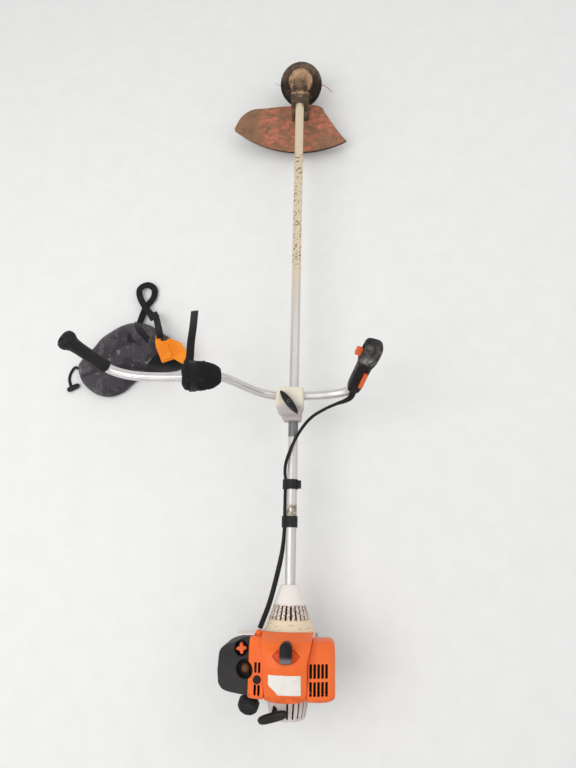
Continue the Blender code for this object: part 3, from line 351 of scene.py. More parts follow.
def cloth_finish():
    """Woven cloth printed in greys, rubbed pale low down, with black mesh and webbing sewn on, and painted
    shade in the crease of its seam.
    """
    f = Finish("printed_cloth", (0.066, 0.057, 0.068))
    f.over(f.patches(13.0, 3.0, 0.5, 0.53, 1.0, (1.0, 1.0, 0.3)), (0.043, 0.038, 0.046))
    f.over(f.patches(19.0, 3.0, 0.57, 0.6, 1.0, (1.3, 0.8, 0.3)), (0.1, 0.087, 0.098))
    pale_patch = f.times(f.zone(1, 0.7, 0.8, 0.03), f.patches(46.0, 4.0, 0.6, 0.67, 0.8))
    f.over(pale_patch, (0.26, 0.235, 0.245))
    sheared = f.maths("ADD", f.along(0), f.times(f.along(1), -0.87))
    mesh = f.times(f.ranged(sheared, -1.094, -1.088), f.zone(1, 0.7, 0.8, 0.004))
    f.over(mesh, (0.01, 0.01, 0.01))
    bands = f.ranged(f.waves(13.0, "DIAGONAL"), 0.55, 0.65)
    sewn = f.times(f.zone(0, -0.492, -0.432, 0.005), f.zone(1, 0.826, 0.9, 0.005))
    f.over(f.times(sewn, bands), (0.01, 0.01, 0.01))
    # painted shade in the crease of the seam
    f.over(f.painted("crease_shade"), (0.02, 0.018, 0.02))
    weave = f.times(f.waves(420.0, "X"), f.waves(420.0, "Y"))
    f.raised(weave, 0.3)
    f.raised(f.noise(60.0, 4.0), 0.6)
    f.shader.inputs["Sheen Weight"].default_value = 0.15
    return f.done((0.82, 0.95))


def webbing_finish():
    f = Finish("black_webbing", (0.01, 0.0095, 0.01))
    ribs = f.times(f.waves(330.0, "DIAGONAL"), f.waves(260.0, "Z"))
    f.over(f.ranged(ribs, 0.2, 0.9, 0.0, 0.6), (0.024, 0.022, 0.023))
    f.over(f.patches(70.0, 6.0, 0.62, 0.72, 0.35), (0.07, 0.06, 0.055))
    f.raised(ribs, 0.35)
    f.shader.inputs["Sheen Weight"].default_value = 0.15
    return f.done((0.78, 0.92))


def foam_finish():
    f = Finish("black_foam", (0.013, 0.012, 0.013))
    pores = f.cells(620.0)
    f.over(f.ranged(pores, 0.15, 0.6, 0.5, 0.0), (0.008, 0.008, 0.008))
    f.over(f.patches(40.0, 5.0, 0.58, 0.72, 0.5), (0.04, 0.036, 0.036))
    f.raised(pores, 0.4)
    f.raised(f.noise(90.0, 4.0), 0.35)
    return f.done((0.8, 0.95))


def boot_finish():
    """Black rubber, with a painted grey sheen at the end nearest the operator."""
    f = Finish("boot_rubber", (0.012, 0.012, 0.013))
    # painted sheen: grey towards the rear end of the boot
    f.over(f.times(f.zone(1, 0.02, 0.0305, 0.01), 0.85), (0.2, 0.19, 0.2))
    f.raised(f.noise(600.0, 3.0), 0.15)
    return f.done((0.35, 0.55))


def handle_finish():
    """Black plastic, greyed by wear and a painted sheen on the upward side of the head of the handle, and
    scuffed where the head meets the hand and the ground.
    """
    f = Finish("rubbed_handle", (0.01, 0.009, 0.009))
    f.over(f.patches(30.0, 4.0, 0.45, 0.65, 0.6), (0.022, 0.019, 0.018))
    # wear and painted sheen: grey patches on the upward side of the handle's head
    f.over(f.times(f.painted("pale_patch"), f.ranged(f.noise(85.0, 9.0), 0.36, 0.62, 0.15, 0.9)),
           (0.115, 0.11, 0.105))
    f.over(f.times(f.painted("scuffed"), f.patches(160.0, 8.0, 0.42, 0.56, 1.0, (1, 3, 1))),
           (0.52, 0.5, 0.47))
    f.raised(f.noise(420.0, 5.0), 0.3)
    return f.done((0.36, 0.56))


def label_finish():
    """A blank paper sticker, stained and rubbed, with nothing printed on it."""
    f = Finish("blank_sticker", (0.86, 0.84, 0.78))
    f.over(f.patches(70.0, 6.0, 0.5, 0.7, 0.6), (0.8, 0.7, 0.58))
    f.over(f.patches(190.0, 8.0, 0.66, 0.71, 0.7), (0.55, 0.3, 0.2))
    f.raised(f.noise(300.0, 4.0), 0.08)
    return f.done((0.5, 0.7))


OWN_FINISHES = {
    "tube": tube_finish, "bar": bar_finish, "shroud": shroud_finish, "cone": cone_finish,
    "clamp": clamp_finish, "guard": guard_finish, "cloth": cloth_finish, "webbing": webbing_finish,
    "foam": foam_finish, "label": label_finish, "boot": boot_finish, "handle": handle_finish,
}
SOILED = {
    "dome": ("dusty_shaded_gearcase", (0.2, 0.125, 0.073), (0.56, 0.34, 0.2), 0.29),
    "bracket": ("dusty_bracket", (0.09, 0.06, 0.04), (0.2, 0.135, 0.085), 0.12),
    "head": ("dusty_shaded_head", (0.1, 0.068, 0.048), (0.2, 0.14, 0.095), 0.2),
}
COATS = {
    "casting": ("cast_aluminium", (0.56, 0.56, 0.56), (0.48, 0.48, 0.49), (0.42, 0.6), 0.9, (380.0, 0.45),
                ((0.14, 0.11, 0.09), 0.1, 40.0)),
    "steel": ("machined_steel", (0.6, 0.6, 0.61), (0.5, 0.5, 0.52), (0.25, 0.42), 1.0, (500.0, 0.1),
              ((0.22, 0.14, 0.09), 0.04, 60.0)),
    "cream": ("cream_plastic", (0.84, 0.79, 0.74), (0.8, 0.72, 0.62), (0.46, 0.62), 0.0, (700.0, 0.1),
              ((0.38, 0.3, 0.25), 0.06, 90.0)),
    "starter": ("grey_cream_plastic", (0.74, 0.68, 0.65), (0.6, 0.54, 0.52), (0.48, 0.64), 0.0,
                (700.0, 0.1), ((0.34, 0.27, 0.24), 0.1, 60.0)),
    "button": ("orange_button", (0.86, 0.17, 0.045), (0.74, 0.12, 0.03), (0.36, 0.52), 0.0, (600.0, 0.08),
               ((0.3, 0.09, 0.04), 0.07, 90.0)),
    "black": ("black_plastic", (0.014, 0.0135, 0.014), (0.022, 0.021, 0.021), (0.34, 0.52), 0.0,
              (800.0, 0.15), None, ((0.16, 0.15, 0.15), 0.03)),
    "cover": ("dark_grey_cover", (0.027, 0.026, 0.026), (0.038, 0.037, 0.036), (0.48, 0.66), 0.0,
              (850.0, 0.22), ((0.06, 0.055, 0.05), 0.1, 30.0), ((0.2, 0.19, 0.18), 0.01)),
    "worn": ("worn_black", (0.018, 0.016, 0.015), (0.036, 0.033, 0.031), (0.34, 0.58), 0.0, (650.0, 0.3),
             ((0.13, 0.12, 0.11), 0.07, 75.0), ((0.34, 0.32, 0.3), 0.01)),
    "rubber": ("black_rubber", (0.012, 0.011, 0.011), (0.021, 0.019, 0.019), (0.42, 0.62), 0.0,
               (600.0, 0.2), ((0.05, 0.045, 0.04), 0.06, 60.0)),
    "tank": ("grey_tank", (0.5, 0.5, 0.47), (0.42, 0.41, 0.38), (0.4, 0.58), 0.0, (600.0, 0.12),
             ((0.24, 0.19, 0.15), 0.12, 35.0)),
    "primer": ("amber_rubber", (0.16, 0.07, 0.03), (0.24, 0.12, 0.06), (0.22, 0.4), 0.0, (500.0, 0.08),
               ((0.05, 0.03, 0.02), 0.1, 120.0)),
    # near-black: painted shade for the parts seen through the cooling slots, and soot on the muffler
    "soot_and_shade": ("soot_and_shade_metal", (0.018, 0.016, 0.015), (0.03, 0.027, 0.025), (0.7, 0.9), 0.0, (380.0, 0.4)),
    "bolt": ("blackened_bolt", (0.16, 0.155, 0.15), (0.08, 0.078, 0.075), (0.3, 0.5), 0.8),
    "porcelain": ("plug_steel", (0.72, 0.7, 0.66), (0.62, 0.6, 0.57), (0.3, 0.45), 0.5),
    "pale_line": ("pale_line", (0.82, 0.74, 0.7), (0.72, 0.6, 0.56), (0.35, 0.5)),
    "red_line": ("red_line", (0.78, 0.24, 0.19), (0.66, 0.16, 0.13), (0.35, 0.5)),
    "bright": ("bright_orange", (0.95, 0.3, 0.02), (0.88, 0.24, 0.012), (0.34, 0.48), 0.0, (500.0, 0.1),
               ((0.55, 0.14, 0.02), 0.05, 80.0)),
}


def make_finishes():
    looks = {key: finish() for key, finish in OWN_FINISHES.items()}
    looks.update({key: soiled_and_shaded(*row) for key, row in SOILED.items()})
    looks.update({key: coat(*row) for key, row in COATS.items()})
    return looks


NODE_LOOKS = {
    "tube": ["drive_tube"],
    "casting": ["crankcase", "cylinder", "piston", "flywheel"],
    # painted shade: parts seen through the slots are near-black
    "soot_and_shade": ["carburettor", "muffler", "clutch_drum", "clutch_shoes"],
    "steel": ["crankshaft", "drive_shaft", "drive_pinion", "output_gear", "output_shaft", "output_bearing",
              "carrying_ring"],
    "porcelain": ["spark_plug"],
    "cream": ["fan_housing"],
    "clamp": ["handle_support"],
    "tank": ["fuel_tank"],
    "button": ["throttle_interlock", "stop_switch"],
    "black": ["throttle_trigger", "carrying_clamp", "cable_clip", "starter_reel"],
    "foam": ["air_filter"],
    "head": ["line_spool"],
    "bracket": ["deflector_bracket"],
}


def finish_nodes():
    for look, names in NODE_LOOKS.items():
        for name in names:
            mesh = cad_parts[name].data
            mesh.materials.clear()
            mesh.materials.append(LOOKS[look])


# Tools --------------------------------------------------------------------------------------------------


def axis_matrix(origin, direction, side=(1.0, 0.0, 0.0)):
    """The matrix whose local Z runs along direction and whose local X is nearest to side."""
    z = Vector(direction).normalized()
    x = Vector(side)
    x = (x - z * x.dot(z)).normalized()
    return Matrix.Translation(Vector(origin)) @ Matrix((x, z.cross(x), z)).transposed().to_4x4()


SMOOTH_ANGLE = 38
STRAP_LIFT = 0.0016
UPRIGHT = Matrix.Identity(4)
ALONG_SHAFT = axis_matrix((0.0, 0.0, SHAFT_HEIGHT), (0.0, 1.0, 0.0))
OUTPUT = axis_matrix(GEAR_CENTRE, (0.0, math.sin(OUTPUT_TILT), -math.cos(OUTPUT_TILT)))
HANDLE = axis_matrix(HANDLE_START, HANDLE_DIRECTION)
DEFLECTOR = axis_matrix((0.0, 1.66, 0.103), (0.0, -math.sin(DEFLECTOR_SLOPE), math.cos(DEFLECTOR_SLOPE)))


def piece(name, bm, look, matrix=UPRIGHT, smooth_angle=SMOOTH_ANGLE):
    """An object of the look, its points placed by matrix, shaded smooth except at its sharp edges."""
    bmesh.ops.transform(bm, matrix=matrix, verts=bm.verts)
    bmesh.ops.recalc_face_normals(bm, faces=bm.faces)
    mesh = bpy.data.meshes.new(name)
    bm.to_mesh(mesh)
    bm.free()
    mesh.shade_smooth()
    mesh.set_sharp_from_angle(angle=math.radians(smooth_angle))
    obj = bpy.data.objects.new(name, mesh)
    bpy.context.scene.collection.objects.link(obj)
    if look is not None:
        mesh.materials.append(LOOKS[look])
    return obj


def baked(obj):
    """Modifiers worked into the mesh."""
    bpy.context.view_layer.update()
    graph = bpy.context.evaluated_depsgraph_get()
    mesh = bpy.data.meshes.new_from_object(obj.evaluated_get(graph))
    obj.modifiers.clear()
    obj.data = mesh
    return obj


def combined(obj, operation, others):
    """The piece with the others cut out of it or joined to it."""
    for other in others:
        step = obj.modifiers.new(other.name, "BOOLEAN")
        step.operation = operation
        step.object = other
    baked(obj)
    for other in others:
        bpy.data.objects.remove(other, do_unlink=True)
    obj.data.shade_smooth()
    obj.data.set_sharp_from_angle(angle=math.radians(SMOOTH_ANGLE))
    return obj


def cut(obj, *cutters):
    return combined(obj, "DIFFERENCE", cutters)


def join(obj, *others):
    return combined(obj, "UNION", others)


def mark(obj, name, value):
    """A value written on every point of the mesh, worked out from where the point is."""
    layer = obj.data.attributes.new(name, "FLOAT", "POINT")
    for i, vertex in enumerate(obj.data.vertices):
        layer.data[i].value = value(vertex.co)


def softened(obj, width, segments=2):
    step = obj.modifiers.new("rounding", "BEVEL")
    step.width = width
    step.segments = segments
    step.limit_method = "ANGLE"
    step.angle_limit = math.radians(35)
    return baked(obj)


def thickened(obj, wall, offset=-1.0):
    step = obj.modifiers.new("wall", "SOLIDIFY")
    step.thickness = wall
    step.offset = offset
    return baked(obj)


def skin(bm, rings, looped=True, ends=(0, -1)):
    """Faces between neighbouring rings of points, and over each ring that ends names."""
    for a, b in zip(rings, rings[1:]):
        for k in range(len(a) if looped else len(a) - 1):
            m = (k + 1) % len(a)
            bm.faces.new((a[k], a[m], b[m], b[k]))
    for end in ends:
        bm.faces.new(rings[end])


def lofted(name, rings, look, matrix=UPRIGHT, smooth_angle=SMOOTH_ANGLE, looped=True, ends=(0, -1)):
    """A piece whose surface runs from one ring of points to the next."""
    bm = bmesh.new()
    skin(bm, [[bm.verts.new(point) for point in ring] for ring in rings], looped, ends)
    return piece(name, bm, look, matrix, smooth_angle)


def heading(route, i):
    """The direction of a route at its point i."""
    return (route[min(i + 1, len(route) - 1)] - route[max(i - 1, 0)]).normalized()


def box(name, low, high, look=None, matrix=UPRIGHT):
    bm = bmesh.new()
    bmesh.ops.create_cube(bm, size=1.0)
    size = Vector(high) - Vector(low)
    middle = (Vector(high) + Vector(low)) / 2
    for vertex in bm.verts:
        vertex.co = Vector(a * b for a, b in zip(vertex.co, size)) + middle
    return piece(name, bm, look, matrix)


def lathe(name, profile, look, matrix, steps=64, reach=None):
    """A turned piece from a profile of (radius, height). reach(angle) scales the radius around the axis."""
    solid = profile[0][0] == 0.0 and profile[-1][0] == 0.0
    bm = bmesh.new()
    columns = []
    ends = {}
    for i in range(steps):
        angle = math.tau * i / steps
        scale = reach(angle) if reach else 1.0
        column = []
        for k, (radius, height) in enumerate(profile):
            if radius == 0.0:
                ends[k] = ends.get(k) or bm.verts.new((0.0, 0.0, height))
                column.append(ends[k])
            else:
                r = radius * scale
                column.append(bm.verts.new((r * math.cos(angle), r * math.sin(angle), height)))
        columns.append(column)
    last = len(profile) if not solid else len(profile) - 1
    for a, b in zip(columns, columns[1:] + columns[:1]):
        for k in range(last):
            m = (k + 1) % len(profile)
            corners = [a[k], b[k], b[m], a[m]]
            unique = [v for n, v in enumerate(corners) if v not in corners[:n]]
            if len(unique) > 2:
                bm.faces.new(unique)
    return piece(name, bm, look, matrix)


def rod(name, start, end, radius, look=None, steps=32):
    length = (Vector(end) - Vector(start)).length
    profile = [(0.0, length), (radius, length), (radius, 0.0), (0.0, 0.0)]
    direction = (Vector(end) - Vector(start)).normalized()
    side = (0.0, 1.0, 0.0) if abs(direction.x) > 0.9 else (1.0, 0.0, 0.0)
    return lathe(name, profile, look, axis_matrix(start, direction, side), steps)


def smooth_route(points, spacing):
    """Points of an even Catmull-Rom curve through the given points."""
    knots = [Vector(p) for p in points]
    knots = [knots[0] * 2 - knots[1], *knots, knots[-1] * 2 - knots[-2]]
    route = []
    for a, b, c, d in zip(knots, knots[1:], knots[2:], knots[3:]):
        steps = max(1, round((c - b).length / spacing))
        for i in range(steps):
            t = i / steps
            route.append(
                0.5 * (2 * b + (c - a) * t + (2 * a - 5 * b + 4 * c - d) * t**2
                       + (3 * b - a - 3 * c + d) * t**3)
            )
    return [*route, knots[-2]]


def sweep(name, route, section, look, painted=None, grow=None):
    """A rod along a route whose outline is section, a list of (x, y); painted names a value for each point.

    grow gives the scale of the outline at a share of the way along."""
    bm = bmesh.new()
    layer = bm.verts.layers.float.new(painted[0]) if painted else None
    side = Vector(UP)
    rings = []
    for i, point in enumerate(route):
        along = heading(route, i)
        side = (side - along * side.dot(along)).normalized()
        across = along.cross(side)
        ring = []
        scale = grow(i / (len(route) - 1)) if grow else 1.0
        for k, (x, y) in enumerate(section):
            vertex = bm.verts.new(point + side * x * scale + across * y * scale)
            if painted:
                vertex[layer] = painted[1][k]
            ring.append(vertex)
        rings.append(ring)
    skin(bm, rings)
    return piece(name, bm, look)


def circle(radius, count):
    turns = (math.tau * k / count for k in range(count))
    return [(radius * math.cos(turn), radius * math.sin(turn)) for turn in turns]


def eased(points, reach=0.006):
    """A function through (place, value) points with its corners rounded over reach."""
    places = [p for p, _ in sorted(points)]
    values = [v for _, v in sorted(points)]
    shifts = np.linspace(-reach, reach, 7)
    return lambda at: float(np.mean(np.interp(at + shifts, places, values)))


def smoothstep(low, high, value):
    t = min(1.0, max(0.0, (value - low) / (high - low)))
    return t * t * (3 - 2 * t)


def casing(name, span, left, right, height, bottom, radii, look, rows=70, columns=60, shade=None, bow=0.0,
           wall=0.0022):
    """A moulded cover, open below: rounded by radii at its left, right, rear and front edges.

    With no front radius its front is open too. bow bends the rear edge outwards."""
    low, high = span
    side_left, side_right, rear, front = radii
    arc = [math.radians(90) * k / 7 for k in range(8)]
    stations = [(low + rear * (1 - math.sin(a)), 1 - math.cos(a), rear) for a in arc[:0:-1]]
    stations += [(y, 0.0, 0.0) for y in np.linspace(low + rear, high - front, rows)]
    if front:
        stations += [(high - front * (1 - math.sin(a)), 1 - math.cos(a), front) for a in arc[1:]]
    bm = bmesh.new()
    # painted shade from shade(x, y), kept on the mesh for the finish
    recess_shade = bm.verts.layers.float.new("recess_shade")
    rings = []
    for y, turned_in, end in stations:
        x0, x1 = left(y) + side_left * turned_in, right(y) - side_right * turned_in
        r0, r1 = (min(r, (x1 - x0) * 0.45) for r in (side_left, side_right))
        outline = [(x0, None)]
        outline += [(x0 + r0 * (1 - math.cos(a)), r0 * (1 - math.sin(a))) for a in arc[:-1]]
        outline += [(x, 0.0) for x in np.linspace(x0 + r0, x1 - r1, columns)]
        outline += [(x1 - r1 * (1 - math.cos(a)), r1 * (1 - math.sin(a))) for a in arc[-2::-1]]
        outline.append((x1, None))
        ring = []
        for x, fall in outline:
            z = bottom(y)
            if fall is not None:
                z = max(z + 0.0006, height(x, y) - end * turned_in - fall)
            share = (2 * x - x0 - x1) / (x1 - x0)
            shift = bow * (1 - share * share) * smoothstep(low + 0.03, low, y)
            vertex = bm.verts.new((x, y - shift, z))
            vertex[recess_shade] = shade(x, y) if shade else 0.0
            ring.append(vertex)
        rings.append(ring)
    skin(bm, rings, False, (0, -1) if front else (0,))
    return thickened(piece(name, bm, look), wall)


def upright_slots(name, centres, width, length, low, high):
    """Upright slot cutters with slightly rounded corners, longest along Y."""
    corner = width * 0.3
    bm = bmesh.new()
    for x, y in centres:
        outline = []
        for sx, sy, first in ((1, 1, 0), (-1, 1, 90), (-1, -1, 180), (1, -1, 270)):
            for k in range(4):
                turn = math.radians(first + 30 * k)
                outline.append((x + sx * (width / 2 - corner) + corner * math.cos(turn),
                                y + sy * (length / 2 - corner) + corner * math.sin(turn)))
        floor = [bm.verts.new((u, v, low)) for u, v in outline]
        roof = [bm.verts.new((u, v, high)) for u, v in outline]
        skin(bm, (floor, roof))
    return piece(name, bm, None)


def radial_slots(name, count, spread, first, inner, outer, low, high, width):
    bm = bmesh.new()
    for i in range(count):
        made = bmesh.ops.create_cube(bm, size=1.0)["verts"]
        turn = Matrix.Rotation(first + spread * i, 4, "Z")
        shift = Matrix.Translation(((inner + outer) / 2, 0.0, (low + high) / 2))
        size = Matrix.Diagonal((outer - inner, width, high - low, 1.0))
        bmesh.ops.transform(bm, matrix=turn @ shift @ size, verts=made)
    return piece(name, bm, None, ALONG_SHAFT)


def rounded(name, size, look, matrix, squareness=0.45, steps=40):
    """A rounded block: a sphere pushed out towards its box. A squareness of 1 is an ellipsoid."""
    bm = bmesh.new()
    bmesh.ops.create_uvsphere(bm, u_segments=steps, v_segments=steps // 2, radius=1.0)
    for vertex in bm.verts:
        vertex.co = Vector(
            math.copysign(abs(c) ** squareness, c) * half for c, half in zip(vertex.co, size)
        )
    return piece(name, bm, look, matrix, 60)


def strap(name, points, width, thickness, look, resting=None, spacing=0.004):
    """Webbing along a route, its width level, with thinner edges than middle. It lies over resting."""
    route = smooth_route(points, spacing)
    if resting:
        mesh = resting.data
        tree = BVHTree.FromPolygons([v.co for v in mesh.vertices], [p.vertices for p in mesh.polygons])
        for point in route:
            under = tree.ray_cast(Vector((point.x, point.y, 0.5)), -Vector(UP))[0]
            if under:
                point.z = max(point.z, under.z + STRAP_LIFT)
    rings = []
    outline = [(-0.5, 0.25), (-0.42, 0.5), (0.42, 0.5), (0.5, 0.25), (0.5, -0.25), (0.42, -0.5),
               (-0.42, -0.5), (-0.5, -0.25)]
    for i, point in enumerate(route):
        along = heading(route, i)
        across = along.cross(Vector(UP)).normalized()
        rise = across.cross(along)
        rings.append([point + across * u * width + rise * v * thickness for u, v in outline])
    return lofted(name, rings, look)


def placed(obj, body, slot, *nodes):
    """The piece rides on its body and stands for these nodes; its record slot is not used."""
    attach(obj, body)
    if nodes:
        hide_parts(*nodes)
    return obj


# Engine -------------------------------------------------------------------------------------------------

SHROUD_LEFT = eased([(-0.056, -0.0462), (0.019, -0.0469), (0.0478, -0.05), (0.079, -0.0575)])
SHROUD_RIGHT = eased([(-0.056, 0.0455), (0.0219, 0.0462), (0.05, 0.053), (0.079, 0.058)])
SHROUD_TOP = eased([(-0.056, 0.244), (0.015, 0.2785), (0.046, 0.273), (0.064, 0.26),
                    (0.079, 0.208)], 0.004)
SEAM = 0.0007
BOOT_SIDE = 0.0017
STICKER_LIFT = 0.0004
STICKER_WALL = 0.0003
RAGGED = 0.0006
LENS_CENTRE = Vector((0.0022, 0.038))
LENS_LENGTH, LENS_WIDTH, LENS_DEPTH = 0.0294, 0.0153, 0.0032


def in_lens(x, y):
    """One inside the lens-shaped recess around the boot, none outside it."""
    share = 1 - abs((x - LENS_CENTRE.x) / LENS_LENGTH) ** 2.7
    if share <= 0:
        return 0.0
    return smoothstep(0.0, 0.0018, LENS_WIDTH * share - abs(y - LENS_CENTRE.y))


def shroud_height(x, y):
    left, right = SHROUD_LEFT(y), SHROUD_RIGHT(y)
    return SHROUD_TOP(y) - 0.0105 * abs((2 * x - left - right) / (right - left)) ** 2.6


def make_shroud():
    bottom = eased([(-0.056, 0.2095), (0.046, 0.2095), (0.064, 0.19), (0.079, 0.186)])
    # in_lens both sinks the recess around the boot and paints shade in it
    shroud = casing("shroud", (-0.0545, 0.0785), SHROUD_LEFT, SHROUD_RIGHT,
                    lambda x, y: shroud_height(x, y) - LENS_DEPTH * in_lens(x, y), bottom,
                    (0.002, 0.002, 0.006, 0.0), "shroud", 120, 110, in_lens, 0.0035)
    placed(shroud, "root", "orange_plastic", "engine_shroud")


def make_boot():
    """The spark plug boot: a block with a round front and rounded rear corners, domed on top."""
    half, front, rear, corner = 0.0131, 0.0674, 0.025, 0.006
    arc = np.radians(range(0, 181, 10))
    outline = [(half * math.cos(a), front - half + half * math.sin(a)) for a in arc]
    for sign, first in ((-1, 180), (1, 270)):
        outline += [(sign * (half - corner) + corner * math.cos(a), rear + corner + corner * math.sin(a))
                    for a in np.radians(range(first, first + 91, 18))]
    middle = Vector((0.0, (front + rear) / 2))
    rings = []
    for scale, height in ((0.98, 0.256), (1.0, 0.284), (0.975, 0.2872), (0.92, 0.2895), (0.8, 0.2912),
                          (0.6, 0.2922), (0.3, 0.2926)):
        ring = [middle + (Vector(p) - middle) * scale for p in outline]
        rings.append([(v.x + BOOT_SIDE, v.y, height) for v in ring])
    placed(lofted("boot", rings, "boot"), "root", "black_rubber", "spark_plug_boot")


def make_sticker():
    """A blank sticker that follows the shroud, its near left corner cut off and its edges ragged."""
    rows, columns = 24, 36
    left, front, width, depth, cut_off = -0.0355, 0.0015, 0.069, 0.0415, 0.0185
    grid = []
    for i in range(rows + 1):
        v = i / rows
        y = front - depth * v
        cut_in = cut_off * smoothstep(0.45, 1.0, v)
        line = []
        for k in range(columns + 1):
            u = k / columns
            x = left + cut_in + (width - cut_in) * u + RAGGED * noise.noise(Vector((u * 9, v * 9, 3.1)))
            edge_y = y + RAGGED * noise.noise(Vector((u * 11, 7.7, v * 3)))
            line.append((x, edge_y, shroud_height(x, edge_y) + STICKER_LIFT))
        grid.append(line)
    sticker = thickened(lofted("sticker", grid, "label", looped=False, ends=()), STICKER_WALL, 1.0)
    placed(sticker, "root", "cream_plastic")


def make_exhaust_cover():
    outer = eased([(-0.056, 0.106), (0.045, 0.106), (0.061, 0.1045)])
    top = eased([(-0.056, 0.244), (0.03, 0.244), (0.061, 0.23)])

    def inner(y):
        return SHROUD_RIGHT(y) + SEAM

    def height(x, y):
        share = max(0.0, (x - inner(y)) / (outer(y) - inner(y)))
        ribbed = smoothstep(0.024, 0.03, y) * smoothstep(0.072, 0.08, x)
        return top(y) - 0.016 * share**1.5 - 0.0012 * ribbed * max(0.0, math.sin(y * 1150.0))

    cover = casing("exhaust_cover", (-0.055, 0.0635), inner, outer, height, lambda y: 0.15,
                   (0.0012, 0.0125, 0.012, 0.012), "shroud", 110, 56, None, 0.001)
    centres = [(0.0535 + 0.0084 * i, y) for i in range(5) for y in (0.0064, -0.028)]
    cut(cover, upright_slots("slots", centres, 0.0056, 0.0285, 0.205, 0.27))
    placed(cover, "root", "orange_plastic", "muffler_cover")


def make_intake_panel():
    crest = eased([(-0.056, 0.241), (0.045, 0.241), (0.068, 0.229)])

    def edge(y):
        return SHROUD_LEFT(y) - SEAM

    def height(x, y):
        return crest(y) - 0.012 * max(0.0, (edge(y) - x) / 0.034) ** 1.5

    panel = casing("carburettor_panel", (-0.052, 0.068), lambda y: -0.0825, edge, height, lambda y: 0.165,
                   (0.0035, 0.0012, 0.0045, 0.0045), "shroud", 80, 36)
    centres = [(-0.0657 + 0.0084 * i, y) for i in range(2) for y in (0.0095, -0.0345)]
    slots = upright_slots("slots", centres, 0.0055, 0.021, 0.21, 0.26)
    well = rod("well", PRIMER - Vector((0, 0, 0.045)), PRIMER + Vector((0, 0, 0.08)), 0.0193, None, 48)
    cut(panel, slots, well)
    placed(panel, "root", "orange_plastic", "intake_panel")
    boss_place = Matrix.Translation((-0.0666, 0.069, 0.178))
    boss = rounded("cable_boss", (0.0075, 0.0095, 0.0115), "shroud", boss_place, 0.5)
    placed(boss, "root", "orange_plastic")
    profile = [(0.0, 0.2418), (0.005, 0.2418), (0.0056, 0.2426), (0.0078, 0.2426), (0.0085, 0.2414),
               (0.0085, 0.2325), (0.0, 0.2325)]
    screw = lathe("cover_screw", profile, "black", axis_matrix((-0.0615, -0.014, 0.0), UP), 48)
    cut(screw, box("screw_slot", (-0.066, -0.0147, 0.2408), (-0.057, -0.0133, 0.245)))
    placed(screw, "root", "black_plastic", "panel_screw")


def make_filter_cover():
    def height(x, y):
        primer = smoothstep(0.02, 0.0185, math.hypot(x - PRIMER.x, y - PRIMER.y))
        choke = smoothstep(0.016, 0.0147, math.hypot(x - CHOKE.x, y - CHOKE.y))
        return 0.2125 - max(0.0225 * primer, 0.0205 * choke)

    left = eased([(-0.05, -0.1), (-0.0475, -0.12), (-0.0433, -0.141), (-0.03, -0.1515),
                  (-0.0044, -0.1546), (0.033, -0.1525), (0.042, -0.148), (0.0505, -0.136),
                  (0.056, -0.118), (0.0605, -0.094)], 0.004)
    cover = casing("filter_casing", (-0.05, 0.0605), left, lambda y: -0.0838, height, lambda y: 0.096,
                   (0.013, 0.001, 0.006, 0.006), "cover", 120, 90)
    placed(cover, "root", "black_plastic", "filter_cover")


def make_filter_and_shields():
    """The air filter, and the dark plates of painted shade under the cooling slots of the two side covers.
    """
    element = [(-0.143, -0.036), (-0.144, 0.028), (-0.133, 0.04), (-0.11, 0.047), (-0.088, 0.049),
               (-0.088, -0.038)]
    placed(slab("filter_element", element, 0.118, 0.185, "foam", 0.004), "root", "foam", "air_filter")
    # dark plates that paint shade under the slots
    for name, low, high in (("intake_shade_plate", (-0.08, -0.0496, 0.1662), (-0.05, 0.06, 0.1685)),
                            ("exhaust_shade_plate", (0.052, -0.0525, 0.157), (0.103, 0.057, 0.1588))):
        placed(softened(box(name, low, high, "soot_and_shade"), 0.0005), "root", "steel")


def make_primer_and_choke():
    dome = [(0.0105 * math.sin(a), 0.0025 + 0.0105 * math.cos(a)) for a in np.radians(range(12, 91, 13))]
    profile = [(0.0, 0.013), *dome, (0.0105, -0.0015), (0.0, -0.0015)]
    bulb = lathe("primer_dome", profile, "primer", axis_matrix(PRIMER, UP), 40)
    placed(bulb, "primer_bulb", "primer_rubber", "primer_bulb")
    hub = [(0.0, 0.0128), (0.011, 0.0128), (0.0118, 0.0118), (0.0118, 0.0035), (0.006, 0.002),
           (0.006, -0.0075), (0.0, -0.0075)]
    star = lathe("choke_star", hub, "button", axis_matrix(CHOKE, UP), 96,
                 lambda a: 0.76 + 0.24 * math.cos(4 * (a - math.radians(6))))
    placed(star, "choke_knob", "orange_plastic", "choke_knob")


def make_cone():
    cone = [
        (0.013, 0.176), (0.0215, 0.176), (0.0225, 0.175), (0.039, 0.1272), (0.0552, 0.08),
        (0.057, 0.0786), (0.0592, 0.0785), (0.06, 0.0777), (0.06, 0.0723), (0.0545, 0.0723),
        (0.0225, 0.16), (0.013, 0.163),
    ]
    housing = lathe("clutch_cone", cone, "cone", ALONG_SHAFT, 96)
    count = 24
    cut(housing, radial_slots("slots", count, math.tau / count, math.radians(7.5), 0.03, 0.075, 0.1, 0.131,
                              0.0048))
    placed(housing, "root", "cream_plastic", "clutch_housing")


def make_starter():
    cup = [
        (0.0, -0.108), (0.032, -0.108), (0.037, -0.1068), (0.04, -0.104), (0.045, -0.08),
        (0.047, -0.0585), (0.0445, -0.0585), (0.0425, -0.08), (0.0375, -0.102), (0.033, -0.105),
        (0.005, -0.105), (0.005, -0.0785), (0.0, -0.0785),
    ]
    starter = lathe("starter_cup", cup, "starter", ALONG_SHAFT, 80)
    slots = radial_slots("slots", 6, math.radians(17), math.radians(-88), 0.03, 0.06, -0.101, -0.068,
                         0.0042)
    exit_hole = rod("exit", STARTER_EXIT - STARTER_PULL * 0.01, STARTER_EXIT + STARTER_PULL * 0.012, 0.0062)
    cut(starter, slots, exit_hole)
    placed(starter, "root", "cream_plastic", "starter_housing")


